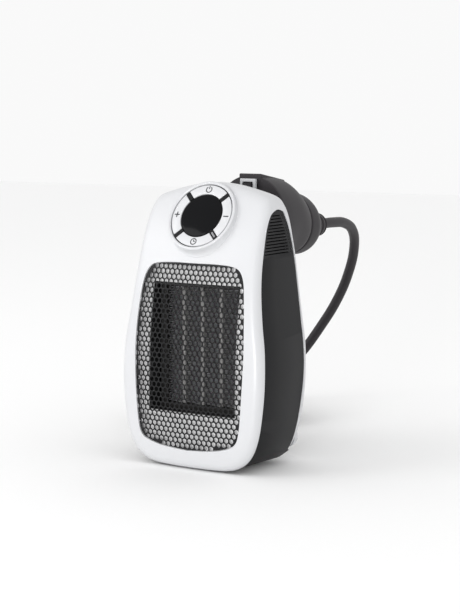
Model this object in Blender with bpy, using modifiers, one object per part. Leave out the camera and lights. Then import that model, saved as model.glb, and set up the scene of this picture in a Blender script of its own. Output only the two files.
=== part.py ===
"""Ceramic fan heater plugged into the socket of an extension lead.

Frame: +Z up, the heater faces -Y, origin on the standing surface under the
middle of the heater and its lead socket.  Units are metres.  Every Y below is
measured from DATUM_Y, the plane that touches the foot of the front grille.
"""
import math

import bmesh
import bpy
from mathutils import Matrix, Vector

# ---------------------------------------------------------------- dimensions
GAP = 0.0003                 # clearance between faces that touch
WALL = 0.0020                # moulded wall of shell, panels and covers
FAR = 0.30                   # reach of a cutter that goes right through

BODY_HEIGHT = 0.1807         # shell, lowest to highest point
BODY_HALF_WIDTH = 0.0528     # at the widest level
BODY_DEPTH = 0.0622          # side wall, front edge to rear edge
SHELL_CLEARANCE = 0.0008     # standing surface to the lowest lip of the shell
FACE_BOW = 0.0030            # how far the front face bulges at its middle
EDGE_RADIUS = 0.0050         # rounding between face and side
REAR_RIM = 0.0090            # rim of the shell around the rear cover
PANEL_INSET = 0.0005         # side panels lie this far under the shell surface
PANEL_SHELF = 0.0081         # rear edge of the base above the shell's lowest point
BASE_HALF_WIDTH = 0.0296     # joint between base plate and side panels

LOUVRES = 6
LOUVRE_PITCH = 0.0044
LOUVRE_HEIGHT = 0.0016
LOUVRE_DROP = 0.0226         # crown to the highest louvre
LOUVRE_FRONT_MARGIN = 0.0030
LOUVRE_REAR_MARGIN = 0.0040

DIAL_LEAN = math.radians(30.0)
DIAL_RADIUS = 0.0219         # carrier disc
DIAL_RIM = 0.0020            # raised white bead around the dial
DIAL_RISE = 0.0004           # bead above the crown of the body
DIAL_PROUD = 0.0028          # dial face in front of the body's face at its centre
DIAL_SEAT = 0.0075           # length of the round wall that holds the dial
BUTTON_BAND = 0.0071         # width of the ring of buttons around the display
BUTTON_EDGE_GAP = 0.0004
LENS_THICK = 0.0016
SPOKE_WIDTH = 0.0026
CARRIER_THICK = 0.0016
CARRIER_DEPTH = 0.0026       # top of the carrier's web under the dial face
BUTTON_THICK = 0.0015
BUTTON_TRAVEL = 0.0006
BUTTON_STEM = 0.0013         # radius of the stem under each cap
STEM_REACH = 0.0010          # stem end below the carrier's web
SWITCH_SIZE = 0.0050
SWITCH_HEIGHT = 0.0030
BOARD_THICK = 0.0014
INDICATOR_WIDTH = 0.0012
INDICATOR_MARGIN = 0.0011    # window's ends inside the button band
INDICATOR_THICK = 0.0004

GRILLE_SIDE = 0.0121         # grille edge inside the widest line of the shell
GRILLE_FOOT = 0.0132         # grille's lowest point above the standing surface
GRILLE_TO_DIAL = 0.0110      # top of the grille below the lowest point of the dial
GRILLE_THICK = 0.0012
GRILLE_RECESS = 0.0006
GRILLE_PITCH = 0.0130
GRILLE_HOLE = 0.0051         # radius of one opening
GRILLE_RIM = 0.0035          # solid border of the grille

SURROUND_DEPTH = 0.0048      # front face of the surround behind the shell face
SURROUND_THICK = 0.0014
SURROUND_BORDER = 0.0018     # surround reaches this far past the grille opening

DUCT_SIDE = 0.0064           # duct wall inside the grille's widest line
DUCT_RISE = 0.0214           # duct foot above the grille's foot
DUCT_DROP = 0.0115           # duct top below the grille's top
DUCT_WALL = 0.0014
DUCT_END = 0.0160

HEATER_SIDE = 0.0072         # opening of the heater frame inside the duct, each side
HEATER_END = 0.0045          # the same at top and bottom
HEATER_DEPTH = 0.0140
HEATER_BORDER = 0.0050
FIN_COLUMNS = 4
FIN_COUNT = 11
FIN_THICK = 0.0012
FIN_RECESS = 0.0010          # fins behind the faces of the frame
BAR_WIDTH = 0.0024
BAR_ROUND = 0.0003

FAN_OVERLAP = 0.0020         # fan radius beyond half the heater opening
FAN_STANDOFF = 0.0025        # heater frame to fan housing
FAN_BLADES = 7
FAN_HUB_RADIUS = 0.0100
FAN_DEPTH = 0.0080
FAN_TIP_CLEARANCE = 0.0015
FAN_PLATE_THICK = 0.0100
FAN_PLATE_MARGIN = 0.0040    # housing plate around the fan's bore
BLADE_THICK = 0.0012
ARM_WIDTH = 0.0030
ARM_THICK = 0.0016
SHAFT_RADIUS = 0.0010
MOTOR_RADIUS = 0.0120
MOTOR_LENGTH = 0.0070
MOTOR_PROUD = 0.0045         # motor behind the housing plate

INTAKE_PITCH = 0.0102
INTAKE_WIDTH = 0.0047

SHELF_CLEARANCE = 0.0040     # control board above the duct
CONTROL_BOARD_FRONT = 0.0215
CONTROL_BOARD_DEPTH = 0.0260
RELAY_SIZE = (0.0160, 0.0120, 0.0080)
CUTOUT_RADIUS = 0.0045
CUTOUT_LENGTH = 0.0080

PLUG_DROP = 0.0285           # plug axis below the crown of the shell
PLUG_RADIUS = 0.0193
PLUG_LENGTH = 0.0160
PLUG_SHOULDER = 0.0012       # base of the plug wider than its barrel
PLUG_STANDOFF = 0.0115       # end of the plug base behind the body
PLUG_BASE_CLEARANCE = 0.0018 # plug base behind the top of the shell's rear window
PIN_RADIUS = 0.0024
PIN_SPACING = 0.0190
PIN_LENGTH = 0.0180
LOOP_WIDTH = 0.0118
LOOP_HEIGHT = 0.0081
LOOP_BAR = 0.0021
LOOP_THICK = 0.0024
LOOP_PAD = 0.0004            # pad between plug base and loop
LOOP_SETBACK = 0.0005        # loop in front of the socket's face

SOCKET_WALL = 0.0072
SOCKET_LENGTH = 0.0705
SOCKET_RISE = 0.0046         # middle of the socket's face above the plug axis
SOCKET_DROP = 0.0112         # the cord end sits this far under the socket face
SOCKET_WALL_GAP = 0.0005
BORE_MARGIN = 0.0012         # socket bore deeper than the plug's barrel
INSERT_STEP = 0.0028         # contact insert narrower than the plug's barrel
LATCH_WIDTH = 0.0172
LATCH_LENGTH = 0.0310
LATCH_RISE = 0.0011
LATCH_FALL = 0.0052          # the tab's top slopes down to its rear
TONGUE_CLEARANCE = 0.0006
TONGUE_REACH = 0.0012        # tongue past the front of the loop
RELIEF_LENGTH = 0.0225
RELIEF_RADIUS = 0.0090
RELIEF_RIBS = 3

CORD_RADIUS = 0.0037
COIL_MEAN_RADIUS = 0.0405
COIL_WIDTH = 0.0156
COIL_HEIGHT = 0.0226
COIL_EDGE = 0.0030
TIE_THICK = 0.0008
TIE_WIDTH = 0.0065

PAD_RADIUS = 0.0045
PAD_X = 0.0200
PAD_FRONT = 0.0150           # front pads behind the datum
PAD_REAR = 0.0185            # rear pads in front of the body's rear
BUMPER_SIZE = (0.0058, 0.0066)
BUMPER_THICK = 0.0080
BUMPER_SIDE = 0.0155         # bumper centre inside the widest line
BUMPER_RISE = 0.0150         # bumper centre above the standing surface

SCREW_HEAD = 0.0029
SCREW_HEAD_HEIGHT = 0.0018
SCREW_SHANK = 0.0013
SCREW_BITE = 0.0050          # thread length in the fan housing
SCREW_SIDE = 0.0035          # screws outside the fan's radius

# ------------------------------------------------------------ derived places
TURN = 2.0 * math.pi
BASE_Z = SHELL_CLEARANCE
CROWN_Z = BASE_Z + BODY_HEIGHT
MID_Z = BASE_Z + BODY_HEIGHT / 2.0
DIAL_CENTRE_Z = CROWN_Z + DIAL_RISE - (DIAL_RADIUS + DIAL_RIM) * math.cos(DIAL_LEAN)
LENS_RADIUS = DIAL_RADIUS - BUTTON_BAND
BUTTON_RING = (LENS_RADIUS + BUTTON_EDGE_GAP, DIAL_RADIUS - BUTTON_EDGE_GAP)
STEM_END = CARRIER_DEPTH + CARRIER_THICK + STEM_REACH
GRILLE_HALF_WIDTH = BODY_HALF_WIDTH - GRILLE_SIDE
GRILLE_TOP = DIAL_CENTRE_Z - DIAL_RADIUS * math.cos(DIAL_LEAN) - GRILLE_TO_DIAL
DUCT_HALF_WIDTH = GRILLE_HALF_WIDTH - DUCT_SIDE
DUCT_FOOT = GRILLE_FOOT + DUCT_RISE
DUCT_TOP = GRILLE_TOP - DUCT_DROP
FAN_Z = (DUCT_FOOT + DUCT_TOP) / 2.0
HEATER_WIDTH = 2.0 * (DUCT_HALF_WIDTH - HEATER_SIDE)
HEATER_HEIGHT = DUCT_TOP - DUCT_FOOT - 2.0 * HEATER_END
HEATER_FRONT = DUCT_END + GAP
HEATER_BACK = HEATER_FRONT + HEATER_DEPTH
FAN_RADIUS = min(HEATER_WIDTH, HEATER_HEIGHT) / 2.0 + FAN_OVERLAP
INTAKE_SLOTS = 2 * int((FAN_RADIUS - INTAKE_WIDTH / 2.0) / INTAKE_PITCH) + 1
FAN_FRONT = HEATER_BACK + FAN_STANDOFF
FAN_BACK = FAN_FRONT + FAN_PLATE_THICK
FAN_PLATE_HALF = FAN_RADIUS + FAN_TIP_CLEARANCE + FAN_PLATE_MARGIN + 2.0 * SCREW_SHANK
FAN_PLATE_TALL = max(HEATER_HEIGHT / 2.0 + GAP, FAN_RADIUS + FAN_TIP_CLEARANCE + FAN_PLATE_MARGIN)
SHELF_Z = max(DUCT_TOP, FAN_Z + FAN_PLATE_TALL) + SHELF_CLEARANCE
PLUG_Z = CROWN_Z - PLUG_DROP
PLUG_BASE_RADIUS = PLUG_RADIUS + PLUG_SHOULDER
PLUG_BASE_END = BODY_DEPTH + PLUG_STANDOFF
LOOP_FOOT = PLUG_Z + PLUG_BASE_RADIUS + LOOP_PAD + GAP
LOOP_TOP = LOOP_FOOT + LOOP_HEIGHT
SOCKET_RADIUS = PLUG_RADIUS + SOCKET_WALL_GAP + SOCKET_WALL
INSERT_RADIUS = PLUG_RADIUS - INSERT_STEP
SOCKET_FACE = PLUG_BASE_END + GAP
SOCKET_Z = PLUG_Z + SOCKET_RISE
CORD_Z = SOCKET_Z - SOCKET_DROP
RELIEF_START = SOCKET_FACE + SOCKET_LENGTH + GAP
LEAD_END = RELIEF_START + RELIEF_LENGTH

# ----------------------------------------------------------------- body form
# Shares of the half width and of the height, from the foot to the crown.
OUTLINE = ((0.0, 0.0), (0.30, 0.001), (0.54, 0.006), (0.70, 0.023), (0.82, 0.055), (0.905, 0.105),
           (0.965, 0.182), (1.0, 0.30), (0.985, 0.42), (0.93, 0.53), (0.885, 0.65), (0.860, 0.78),
           (0.852, 0.88), (0.825, 0.925), (0.752, 0.9535), (0.50, 0.977), (0.25, 0.993), (0.0, 1.0))
# The same for the charcoal panels at their rear, where they are fuller at the foot.
POD = ((0.0, 0.0), (0.30, 0.0005), (0.54, 0.002), (0.68, 0.009), (0.78, 0.026), (0.87, 0.055),
       (0.945, 0.130)) + OUTLINE[7:]
# Height share against share of the depth, on the middle line of the face.
FACE = ((0.0, -0.015), (0.06, -0.036), (0.18, -0.042), (0.31, -0.042), (0.48, -0.013), (0.61, 0.038),
        (0.68, 0.080), (0.745, 0.128), (0.81, 0.190), (0.885, 0.291), (1.0, 0.480))
# The same for the rear edge of the side walls.
BACK = ((0.0, 0.82), (0.06, 0.90), (0.18, 0.95), (0.32, 0.975), (0.48, 0.995), (0.61, 0.980),
        (0.745, 0.932), (0.85, 0.848), (0.92, 0.765), (1.0, 0.66))
# Front and rear edge of the side panel: height share, depth share.
PANEL_FRONT = ((0.0, 0.080), (0.08, 0.086), (0.20, 0.086), (0.34, 0.103), (0.48, 0.137), (0.61, 0.175),
               (0.70, 0.218), (0.78, 0.279), (0.845, 0.338), (0.885, 0.404), (0.901, 0.468))
PANEL_REAR = ((0.901, 0.677), (0.885, 0.709), (0.845, 0.776), (0.78, 0.854), (0.68, 0.909), (0.58, 0.926),
              (0.48, 0.917), (0.34, 0.893), (0.20, 0.855), (0.08, 0.800), (PANEL_SHELF / BODY_HEIGHT, 0.780))
PANEL_APEX = (0.9105, 0.572)
FACE_FRONT = min(y for _, y in FACE) * BODY_DEPTH + GRILLE_RECESS
DATUM_Y = -(LEAD_END + FACE_FRONT) / 2.0

MATERIALS = {
    # name: (colour, roughness, metallic)
    "white_abs": ((0.80, 0.81, 0.83), 0.35, 0.0),
    "charcoal_abs": ((0.035, 0.035, 0.038), 0.45, 0.0),
    "black_gloss": ((0.006, 0.006, 0.007), 0.08, 0.0),
    "black_plastic": ((0.02, 0.02, 0.02), 0.5, 0.0),
    "grille_steel": ((0.05, 0.05, 0.055), 0.4, 0.8),
    "aluminium": ((0.62, 0.63, 0.64), 0.35, 1.0),
    "ceramic": ((0.55, 0.50, 0.42), 0.6, 0.0),
    "brass": ((0.70, 0.66, 0.55), 0.3, 1.0),
    "steel": ((0.50, 0.50, 0.50), 0.3, 1.0),
    "rubber": ((0.045, 0.042, 0.046), 0.65, 0.0),
    "circuit_board": ((0.03, 0.16, 0.07), 0.5, 0.0),
    "mica": ((0.40, 0.33, 0.22), 0.7, 0.0),
    "indicator": ((0.35, 0.35, 0.36), 0.4, 0.0),
}


# ------------------------------------------------------------------- helpers
def clear_scene():
    for obj in list(bpy.data.objects):
        bpy.data.objects.remove(obj, do_unlink=True)


def new_collection(name):
    coll = bpy.data.collections.new(name)
    bpy.context.scene.collection.children.link(coll)
    return coll


def material(name):
    mat = bpy.data.materials.get(name)
    if mat is None:
        colour, roughness, metallic = MATERIALS[name]
        mat = bpy.data.materials.new(name)
        mat.use_nodes = True
        shader = mat.node_tree.nodes["Principled BSDF"]
        shader.inputs["Base Color"].default_value = (*colour, 1.0)
        shader.inputs["Roughness"].default_value = roughness
        shader.inputs["Metallic"].default_value = metallic
        mat.diffuse_color = (*colour, 1.0)
    return mat


def at(x, y, z):
    """A point given with Y from the front datum."""
    return Vector((x, y + DATUM_Y, z))


def add_mesh(name, bm, finish=None, matrix=None):
    """Make an object of a bmesh: a part if it has a finish, else a cutter."""
    bmesh.ops.recalc_face_normals(bm, faces=bm.faces)
    mesh = bpy.data.meshes.new(name)
    bm.to_mesh(mesh)
    bm.free()
    obj = bpy.data.objects.new(name, mesh)
    if matrix is not None:
        obj.matrix_world = matrix
    if finish is None:
        CUTTERS.objects.link(obj)
        obj.hide_render = True
        obj.display_type = "WIRE"
    else:
        PARTS.objects.link(obj)
        mesh.materials.append(material(finish))
        mesh.shade_smooth()
        mesh.set_sharp_from_angle(angle=math.radians(35.0))
    return obj


def box_mesh(size, centre=(0.0, 0.0, 0.0)):
    bm = bmesh.new()
    bmesh.ops.create_cube(bm, size=1.0)
    bmesh.ops.scale(bm, vec=size, verts=bm.verts)
    bmesh.ops.translate(bm, vec=centre, verts=bm.verts)
    return bm


def block(name, low, high, finish=None):
    """A box between two corners, Y from the datum."""
    low, high = at(*low), at(*high)
    size = high - low
    return add_mesh(name, box_mesh(size, (low + high) / 2.0), finish)


def loft_mesh(rings):
    """A closed solid through rings that all have the same number of points."""
    bm = bmesh.new()
    rows = [[bm.verts.new(point) for point in ring] for ring in rings]
    count = len(rows[0])
    for row, following in zip(rows, rows[1:]):
        for i in range(count):
            j = (i + 1) % count
            bm.faces.new((row[i], row[j], following[j], following[i]))
    bm.faces.new(rows[0][::-1])
    bm.faces.new(rows[-1])
    return bm


def circle(radius, steps, centre=(0.0, 0.0), start=0.0):
    return [(centre[0] + radius * math.cos(start + TURN * k / steps),
             centre[1] + radius * math.sin(start + TURN * k / steps)) for k in range(steps)]


def prism_mesh(outline, low, high, axis="Y"):
    """An outline in the other two axes, extruded from low to high along axis."""
    place = {"Y": lambda u, v, w: (u, w, v),
             "X": lambda u, v, w: (w, u, v),
             "Z": lambda u, v, w: (u, v, w)}[axis]
    return loft_mesh([[place(u, v, w) for u, v in outline] for w in (low, high)])


def prism(name, outline, low, high, finish=None, matrix=None):
    """An XZ outline extruded along Y, which is measured from the datum."""
    if matrix is None:
        matrix = Matrix.Translation((0.0, DATUM_Y, 0.0))
    return add_mesh(name, prism_mesh(outline, low, high), finish, matrix)


def rod(name, radius, low, high, centre, finish=None, steps=24, matrix=None):
    return prism(name, circle(radius, steps, centre), low, high, finish, matrix)


def together(name, meshes, matrix=None):
    """One cutter made of several solids that don't touch each other."""
    bm = bmesh.new()
    for piece in meshes:
        mesh = bpy.data.meshes.new(name)
        piece.to_mesh(mesh)
        piece.free()
        bm.from_mesh(mesh)
        bpy.data.meshes.remove(mesh)
    if matrix is None:
        matrix = Matrix.Translation((0.0, DATUM_Y, 0.0))
    return add_mesh(name, bm, None, matrix)


def rod_mesh(radius, low, high, centre, steps=12):
    return prism_mesh(circle(radius, steps, centre), low, high)


def block_mesh(low, high):
    size = [b - a for a, b in zip(low, high)]
    return box_mesh(size, [(a + b) / 2.0 for a, b in zip(low, high)])


def turned(name, profile, centre, finish, steps=32):
    """A solid of rings about an axis along Y; profile lists (y, radius)."""
    rings = [[(x, y, z) for x, z in circle(radius, steps, centre)] for y, radius in profile]
    return add_mesh(name, loft_mesh(rings), finish, Matrix.Translation((0.0, DATUM_Y, 0.0)))


def combine(obj, other, operation="DIFFERENCE"):
    mod = obj.modifiers.new(operation.lower(), "BOOLEAN")
    mod.operation = operation
    mod.solver = "EXACT"
    mod.object = other
    return obj


def soften(obj, width, segments=1):
    mod = obj.modifiers.new("bevel", "BEVEL")
    mod.width = width
    mod.segments = segments
    mod.limit_method = "ANGLE"
    mod.angle_limit = math.radians(50.0)
    return obj


def spline(points, steps, closed=False):
    """Catmull-Rom curve through the points, steps pieces between each pair."""
    count = len(points)
    result = []
    pairs = count if closed else count - 1

    def pick(i):
        if closed:
            return Vector(points[i % count])
        if i < 0:
            return 2.0 * Vector(points[0]) - Vector(points[1])
        if i >= count:
            return 2.0 * Vector(points[-1]) - Vector(points[-2])
        return Vector(points[i])

    for i in range(pairs):
        p0, p1, p2, p3 = pick(i - 1), pick(i), pick(i + 1), pick(i + 2)
        for k in range(steps):
            t = k / steps
            result.append(0.5 * (2.0 * p1 + (p2 - p0) * t + (2.0 * p0 - 5.0 * p1 + 4.0 * p2 - p3) * t ** 2
                                 + (3.0 * p1 - p0 - 3.0 * p2 + p3) * t ** 3))
    if not closed:
        result.append(Vector(points[-1]))
    return result


def along(knots, x):
    """Smooth value at x of a curve through knots (x, value)."""
    if x <= knots[0][0]:
        return knots[0][1]
    for i in range(len(knots) - 1):
        x0, y0 = knots[i]
        x1, y1 = knots[i + 1]
        if x <= x1:
            before = knots[max(i - 1, 0)]
            after = knots[min(i + 2, len(knots) - 1)]
            m0 = (y1 - before[1]) / (x1 - before[0])
            m1 = (after[1] - y0) / (after[0] - x0)
            h = x1 - x0
            t = (x - x0) / h
            return ((2 * t ** 3 - 3 * t ** 2 + 1) * y0 + (t ** 3 - 2 * t ** 2 + t) * h * m0
                    + (3 * t ** 2 - 2 * t ** 3) * y1 + (t ** 3 - t ** 2) * h * m1)
    return knots[-1][1]


# ----------------------------------------------------------------- body form
def body_z(share):
    return BASE_Z + share * BODY_HEIGHT


def outline(inset=0.0, steps=2, form=OUTLINE):
    """Front view of the body as a closed loop of (x, z), drawn in by inset."""
    wide = BODY_HALF_WIDTH - inset
    tall = BODY_HEIGHT / 2.0 - inset
    half = [(p[0] * wide, MID_Z + (2.0 * p[1] - 1.0) * tall) for p in spline(form, steps)]
    return half + [(-x, z) for x, z in half[-2:0:-1]]


def face_y(x, z):
    """Front surface of the body before its edges are rounded."""
    share = (z - BASE_Z) / BODY_HEIGHT
    bow = FACE_BOW * (x / BODY_HALF_WIDTH) ** 2
    return along(FACE, share) * BODY_DEPTH + bow


def back_y(x, z):
    share = (z - BASE_Z) / BODY_HEIGHT
    return along(BACK, share) * BODY_DEPTH - FACE_BOW * ((x / BODY_HALF_WIDTH) ** 2 - 1.0)


def body_mesh(inset, steps, pod):
    """The closed outer form of the heater, every face drawn in by inset."""
    crown_depth = back_y(0.0, CROWN_Z) - face_y(0.0, CROWN_Z) - 2.0 * inset
    radius = min(EDGE_RADIUS, crown_depth / 2.0)
    rows = []

    def ring(draw, surface, sign, lift, form=OUTLINE):
        loop = outline(inset + draw, steps, form)
        rows.append([(x, surface(x, z) + sign * (inset + lift), z) for x, z in loop])

    def scaled(share, surface, sign):
        loop = [(x * share, MID_Z + (z - MID_Z) * share) for x, z in outline(inset + radius, steps)]
        rows.append([(x, surface(x, z) + sign * inset, z) for x, z in loop])

    shares = (0.04, 0.45, 0.80)
    angles = [math.radians(a) for a in (90.0, 45.0, 0.0)]
    for share in shares:
        scaled(share, face_y, 1.0)
    for angle in angles:
        ring(radius * (1.0 - math.cos(angle)), face_y, 1.0, radius * (1.0 - math.sin(angle)))
    rear_form = POD if pod else OUTLINE
    if pod:
        loops = zip(outline(inset, steps), outline(inset, steps, POD))
        middle = [((x0 + x1) / 2.0, (z0 + z1) / 2.0) for (x0, z0), (x1, z1) in loops]
        rows.append([(x, 0.6 * (face_y(x, z) + radius) + 0.4 * (back_y(x, z) - radius), z)
                     for x, z in middle])
    for angle in reversed(angles):
        ring(radius * (1.0 - math.cos(angle)), back_y, -1.0, radius * (1.0 - math.sin(angle)), rear_form)
    for share in reversed(shares):
        scaled(share, back_y, -1.0)
    return loft_mesh(rows)


def body(name, inset=0.0, finish=None, steps=1, pod=False):
    return add_mesh(name, body_mesh(inset, steps, pod), finish, Matrix.Translation((0.0, DATUM_Y, 0.0)))


def panel_outline(clearance=0.0):
    """Side view of the opening for a side panel and the base, as (y, z)."""
    front = [(y * BODY_DEPTH + clearance, body_z(s)) for s, y in PANEL_FRONT]
    rear = [(y * BODY_DEPTH - clearance, body_z(s)) for s, y in PANEL_REAR]
    apex = (PANEL_APEX[1] * BODY_DEPTH, body_z(PANEL_APEX[0]) - clearance)
    curve = [tuple(p) for p in spline(front + [apex] + rear, 3)]
    shelf = body_z(PANEL_REAR[-1][0]) - clearance
    below = -BODY_HEIGHT / 10.0
    return curve + [(curve[-1][0], shelf), (BODY_DEPTH * 1.3, shelf), (BODY_DEPTH * 1.3, below),
                    (curve[0][0], below)]


def panel_cutter(name, clearance=0.0):
    bm = prism_mesh(panel_outline(clearance), -FAR, FAR, axis="X")
    return add_mesh(name, bm, None, Matrix.Translation((0.0, DATUM_Y, 0.0)))


def grille_outline(grow=0.0, steps=1):
    """Front view of the grille: straight-ish sides, round corners, bowed foot."""
    w = GRILLE_HALF_WIDTH + grow
    low, high = GRILLE_FOOT - grow, GRILLE_TOP + grow
    tall = high - low
    shape = ((0.0, 0.0), (0.45, 0.012), (0.75, 0.036), (0.87, 0.065), (0.925, 0.12), (0.965, 0.25),
             (1.0, 0.50), (0.985, 0.68), (0.945, 0.84), (0.905, 0.92), (0.82, 0.972), (0.68, 0.993),
             (0.40, 1.0), (0.0, 1.0))
    half = [(p[0] * w, low + p[1] * tall) for p in spline(shape, steps)]
    return half + [(-x, z) for x, z in half[-2:0:-1]]


def curved_plate(name, loop, depth, thick, finish):
    """A plate that follows the front face, depth behind it."""
    centre = Vector((0.0, sum(z for _, z in loop) / len(loop)))
    rows = []
    shares = (0.05, 0.40, 0.72, 1.0)
    for back, order in ((0.0, shares), (thick, shares[::-1])):
        for share in order:
            row = []
            for x, z in loop:
                px, pz = x * share, centre.y + (z - centre.y) * share
                row.append((px, face_y(px, pz) + depth + back, pz))
            rows.append(row)
    return add_mesh(name, loft_mesh(rows), finish, Matrix.Translation((0.0, DATUM_Y, 0.0)))


# --------------------------------------------------------------- outer parts
def dial_matrix(depth=0.0, angle=0.0):
    """Local frame of the dial: -Y points out of the face, X across, Z up it."""
    centre = at(0.0, face_y(0.0, DIAL_CENTRE_Z) - DIAL_PROUD, DIAL_CENTRE_Z)
    return (Matrix.Translation(centre)
            @ Matrix.Rotation(-DIAL_LEAN, 4, "X") @ Matrix.Rotation(angle, 4, "Y")
            @ Matrix.Translation((0.0, depth, 0.0)))


def make_outer_shell():
    shell = body("outer_shell", 0.0, "white_abs", 2)
    seat = rod("shell_dial_seat", DIAL_RADIUS + GAP + DIAL_RIM, 0.0, DIAL_SEAT, (0.0, 0.0), None, 40,
               dial_matrix())
    combine(shell, body("shell_hollow", WALL))
    combine(shell, seat, "UNION")
    combine(shell, rod("shell_dial_bore", DIAL_RADIUS + GAP, -DIAL_SEAT, 2.0 * DIAL_SEAT, (0.0, 0.0), None,
                       40, dial_matrix()))
    combine(shell, panel_cutter("shell_side_windows"))
    combine(shell, prism("shell_rear_window", outline(REAR_RIM), BODY_DEPTH / 2.0, FAR))
    window_depth = face_y(0.0, GRILLE_TOP) + 3.0 * WALL
    combine(shell, prism("shell_grille_window", grille_outline(GAP), -FAR, window_depth))
    return shell


def panel_shell(name, finish):
    """Side panels and base plate start as this one shell, trimmed to its window."""
    shell = body(name, PANEL_INSET, finish, pod=True)
    combine(shell, body(name + "_hollow", PANEL_INSET + WALL, pod=True))
    combine(shell, panel_cutter(name + "_trim", GAP), "INTERSECT")
    return shell


def make_side_panel(name, side):
    panel = panel_shell(name, "charcoal_abs")
    low, high = sorted((side * (BASE_HALF_WIDTH + GAP), side * FAR))
    combine(panel, block(name + "_half", (low, -FAR, -FAR), (high, FAR, FAR)), "INTERSECT")
    slots = []
    for k in range(LOUVRES):
        z = CROWN_Z - LOUVRE_DROP - k * LOUVRE_PITCH
        share = (z - BASE_Z) / BODY_HEIGHT
        front = along(PANEL_FRONT, share) * BODY_DEPTH + LOUVRE_FRONT_MARGIN
        rear = along(tuple(reversed(PANEL_REAR)), share) * BODY_DEPTH - LOUVRE_REAR_MARGIN
        slots.append(block_mesh((low, front, z), (high, rear, z + LOUVRE_HEIGHT)))
    return combine(panel, together(name + "_slots", slots))


def make_base_plate():
    plate = panel_shell("base_plate", "charcoal_abs")
    combine(plate, block("base_middle", (-BASE_HALF_WIDTH, -FAR, -FAR), (BASE_HALF_WIDTH, FAR, MID_Z)),
            "INTERSECT")
    return plate


def make_rear_cover():
    cover = body("rear_cover", 0.0, "charcoal_abs")
    combine(cover, body("cover_hollow", WALL))
    middle = BODY_DEPTH / 2.0
    combine(cover, prism("cover_trim", outline(REAR_RIM + GAP), middle, FAR), "INTERSECT")
    cuts = [rod_mesh(PLUG_BASE_RADIUS + GAP, middle, FAR, (0.0, PLUG_Z), 40)]
    for k in range(INTAKE_SLOTS):
        x = (k - (INTAKE_SLOTS - 1) / 2.0) * INTAKE_PITCH
        half = math.sqrt(max(FAN_RADIUS ** 2 - x ** 2, 0.0))
        cuts.append(block_mesh((x - INTAKE_WIDTH / 2.0, middle, FAN_Z - half),
                               (x + INTAKE_WIDTH / 2.0, FAR, FAN_Z + half)))
    cuts += [rod_mesh(SCREW_SHANK + GAP, middle, FAR, place) for place in screw_places()]
    return combine(cover, together("cover_cuts", cuts))


def screw_places():
    dx, dz = FAN_RADIUS + SCREW_SIDE, FAN_PLATE_TALL - FAN_PLATE_MARGIN
    return [(sx * dx, FAN_Z + sz * dz) for sx in (-1, 1) for sz in (-1, 1)]


def make_grille():
    plate = curved_plate("front_grille", grille_outline(0.0), GRILLE_RECESS, GRILLE_THICK, "grille_steel")
    holes = []
    row_height = GRILLE_PITCH * math.sqrt(0.75)
    rows = int((GRILLE_TOP - GRILLE_FOOT) / row_height)
    lowest = (GRILLE_FOOT + GRILLE_TOP - (rows - 1) * row_height) / 2.0
    margin = grille_outline(-GRILLE_RIM - GRILLE_HOLE)
    for row in range(rows):
        z = lowest + row * row_height
        shift = GRILLE_PITCH / 2.0 if row % 2 else 0.0
        columns = int(GRILLE_HALF_WIDTH / GRILLE_PITCH) + 1
        for column in range(-columns, columns + 1):
            x = column * GRILLE_PITCH + shift
            if inside(x, z, margin):
                holes.append(prism_mesh(circle(GRILLE_HOLE, 6, (x, z), math.pi / 6.0), -FAR, FAR))
    return combine(plate, together("grille_holes", holes))


def inside(x, z, loop):
    """True when (x, z) lies in the closed loop."""
    hit = False
    for (x0, z0), (x1, z1) in zip(loop, loop[1:] + loop[:1]):
        if (z0 > z) != (z1 > z) and x < (x1 - x0) * (z - z0) / (z1 - z0) + x0:
            hit = not hit
    return hit


# ------------------------------------------------------------ air path parts
def rectangle(half_width, low, high):
    return [(-half_width, low), (half_width, low), (half_width, high), (-half_width, high)]


def duct_rect(inset=0.0):
    return rectangle(DUCT_HALF_WIDTH - inset, DUCT_FOOT + inset, DUCT_TOP - inset)


def make_surround():
    plate = curved_plate("grille_surround", grille_outline(SURROUND_BORDER), SURROUND_DEPTH, SURROUND_THICK,
                         "white_abs")
    return combine(plate, prism("surround_opening", duct_rect(DUCT_WALL), -FAR, FAR))


def make_air_duct():
    """Square tube from the surround back to the heater, its front end curved."""
    duct = prism("air_duct", duct_rect(), -DUCT_END, DUCT_END, "black_plastic")
    combine(duct, prism("duct_bore", duct_rect(DUCT_WALL), -FAR, FAR))
    front = SURROUND_DEPTH + SURROUND_THICK + GAP
    trim = curved_plate("duct_front", grille_outline(2.0 * SURROUND_BORDER), front - FAR, FAR, None)
    return combine(duct, trim)


def heater_rect(extra):
    return rectangle(HEATER_WIDTH / 2.0 + extra, FAN_Z - HEATER_HEIGHT / 2.0 - extra,
                     FAN_Z + HEATER_HEIGHT / 2.0 + extra)


def make_heater():
    frame = prism("heater_frame", heater_rect(HEATER_BORDER), HEATER_FRONT, HEATER_BACK, "mica")
    combine(frame, prism("heater_opening", heater_rect(0.0), -FAR, FAR))
    bars = FIN_COLUMNS - 1
    column = (HEATER_WIDTH - bars * BAR_WIDTH - 2.0 * FIN_COLUMNS * GAP) / FIN_COLUMNS
    low, high = FAN_Z - HEATER_HEIGHT / 2.0 + GAP, FAN_Z + HEATER_HEIGHT / 2.0 - GAP
    x = -HEATER_WIDTH / 2.0 + GAP
    for k in range(FIN_COLUMNS):
        make_fin_stack("fin_stack_%d" % (k + 1), x, x + column, low, high)
        x += column + GAP
        if k < bars:
            bar = block("ptc_bar_%d" % (k + 1), (x, HEATER_FRONT, low), (x + BAR_WIDTH, HEATER_BACK, high),
                        "ceramic")
            soften(bar, BAR_ROUND)
            x += BAR_WIDTH + GAP
    return frame


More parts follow.
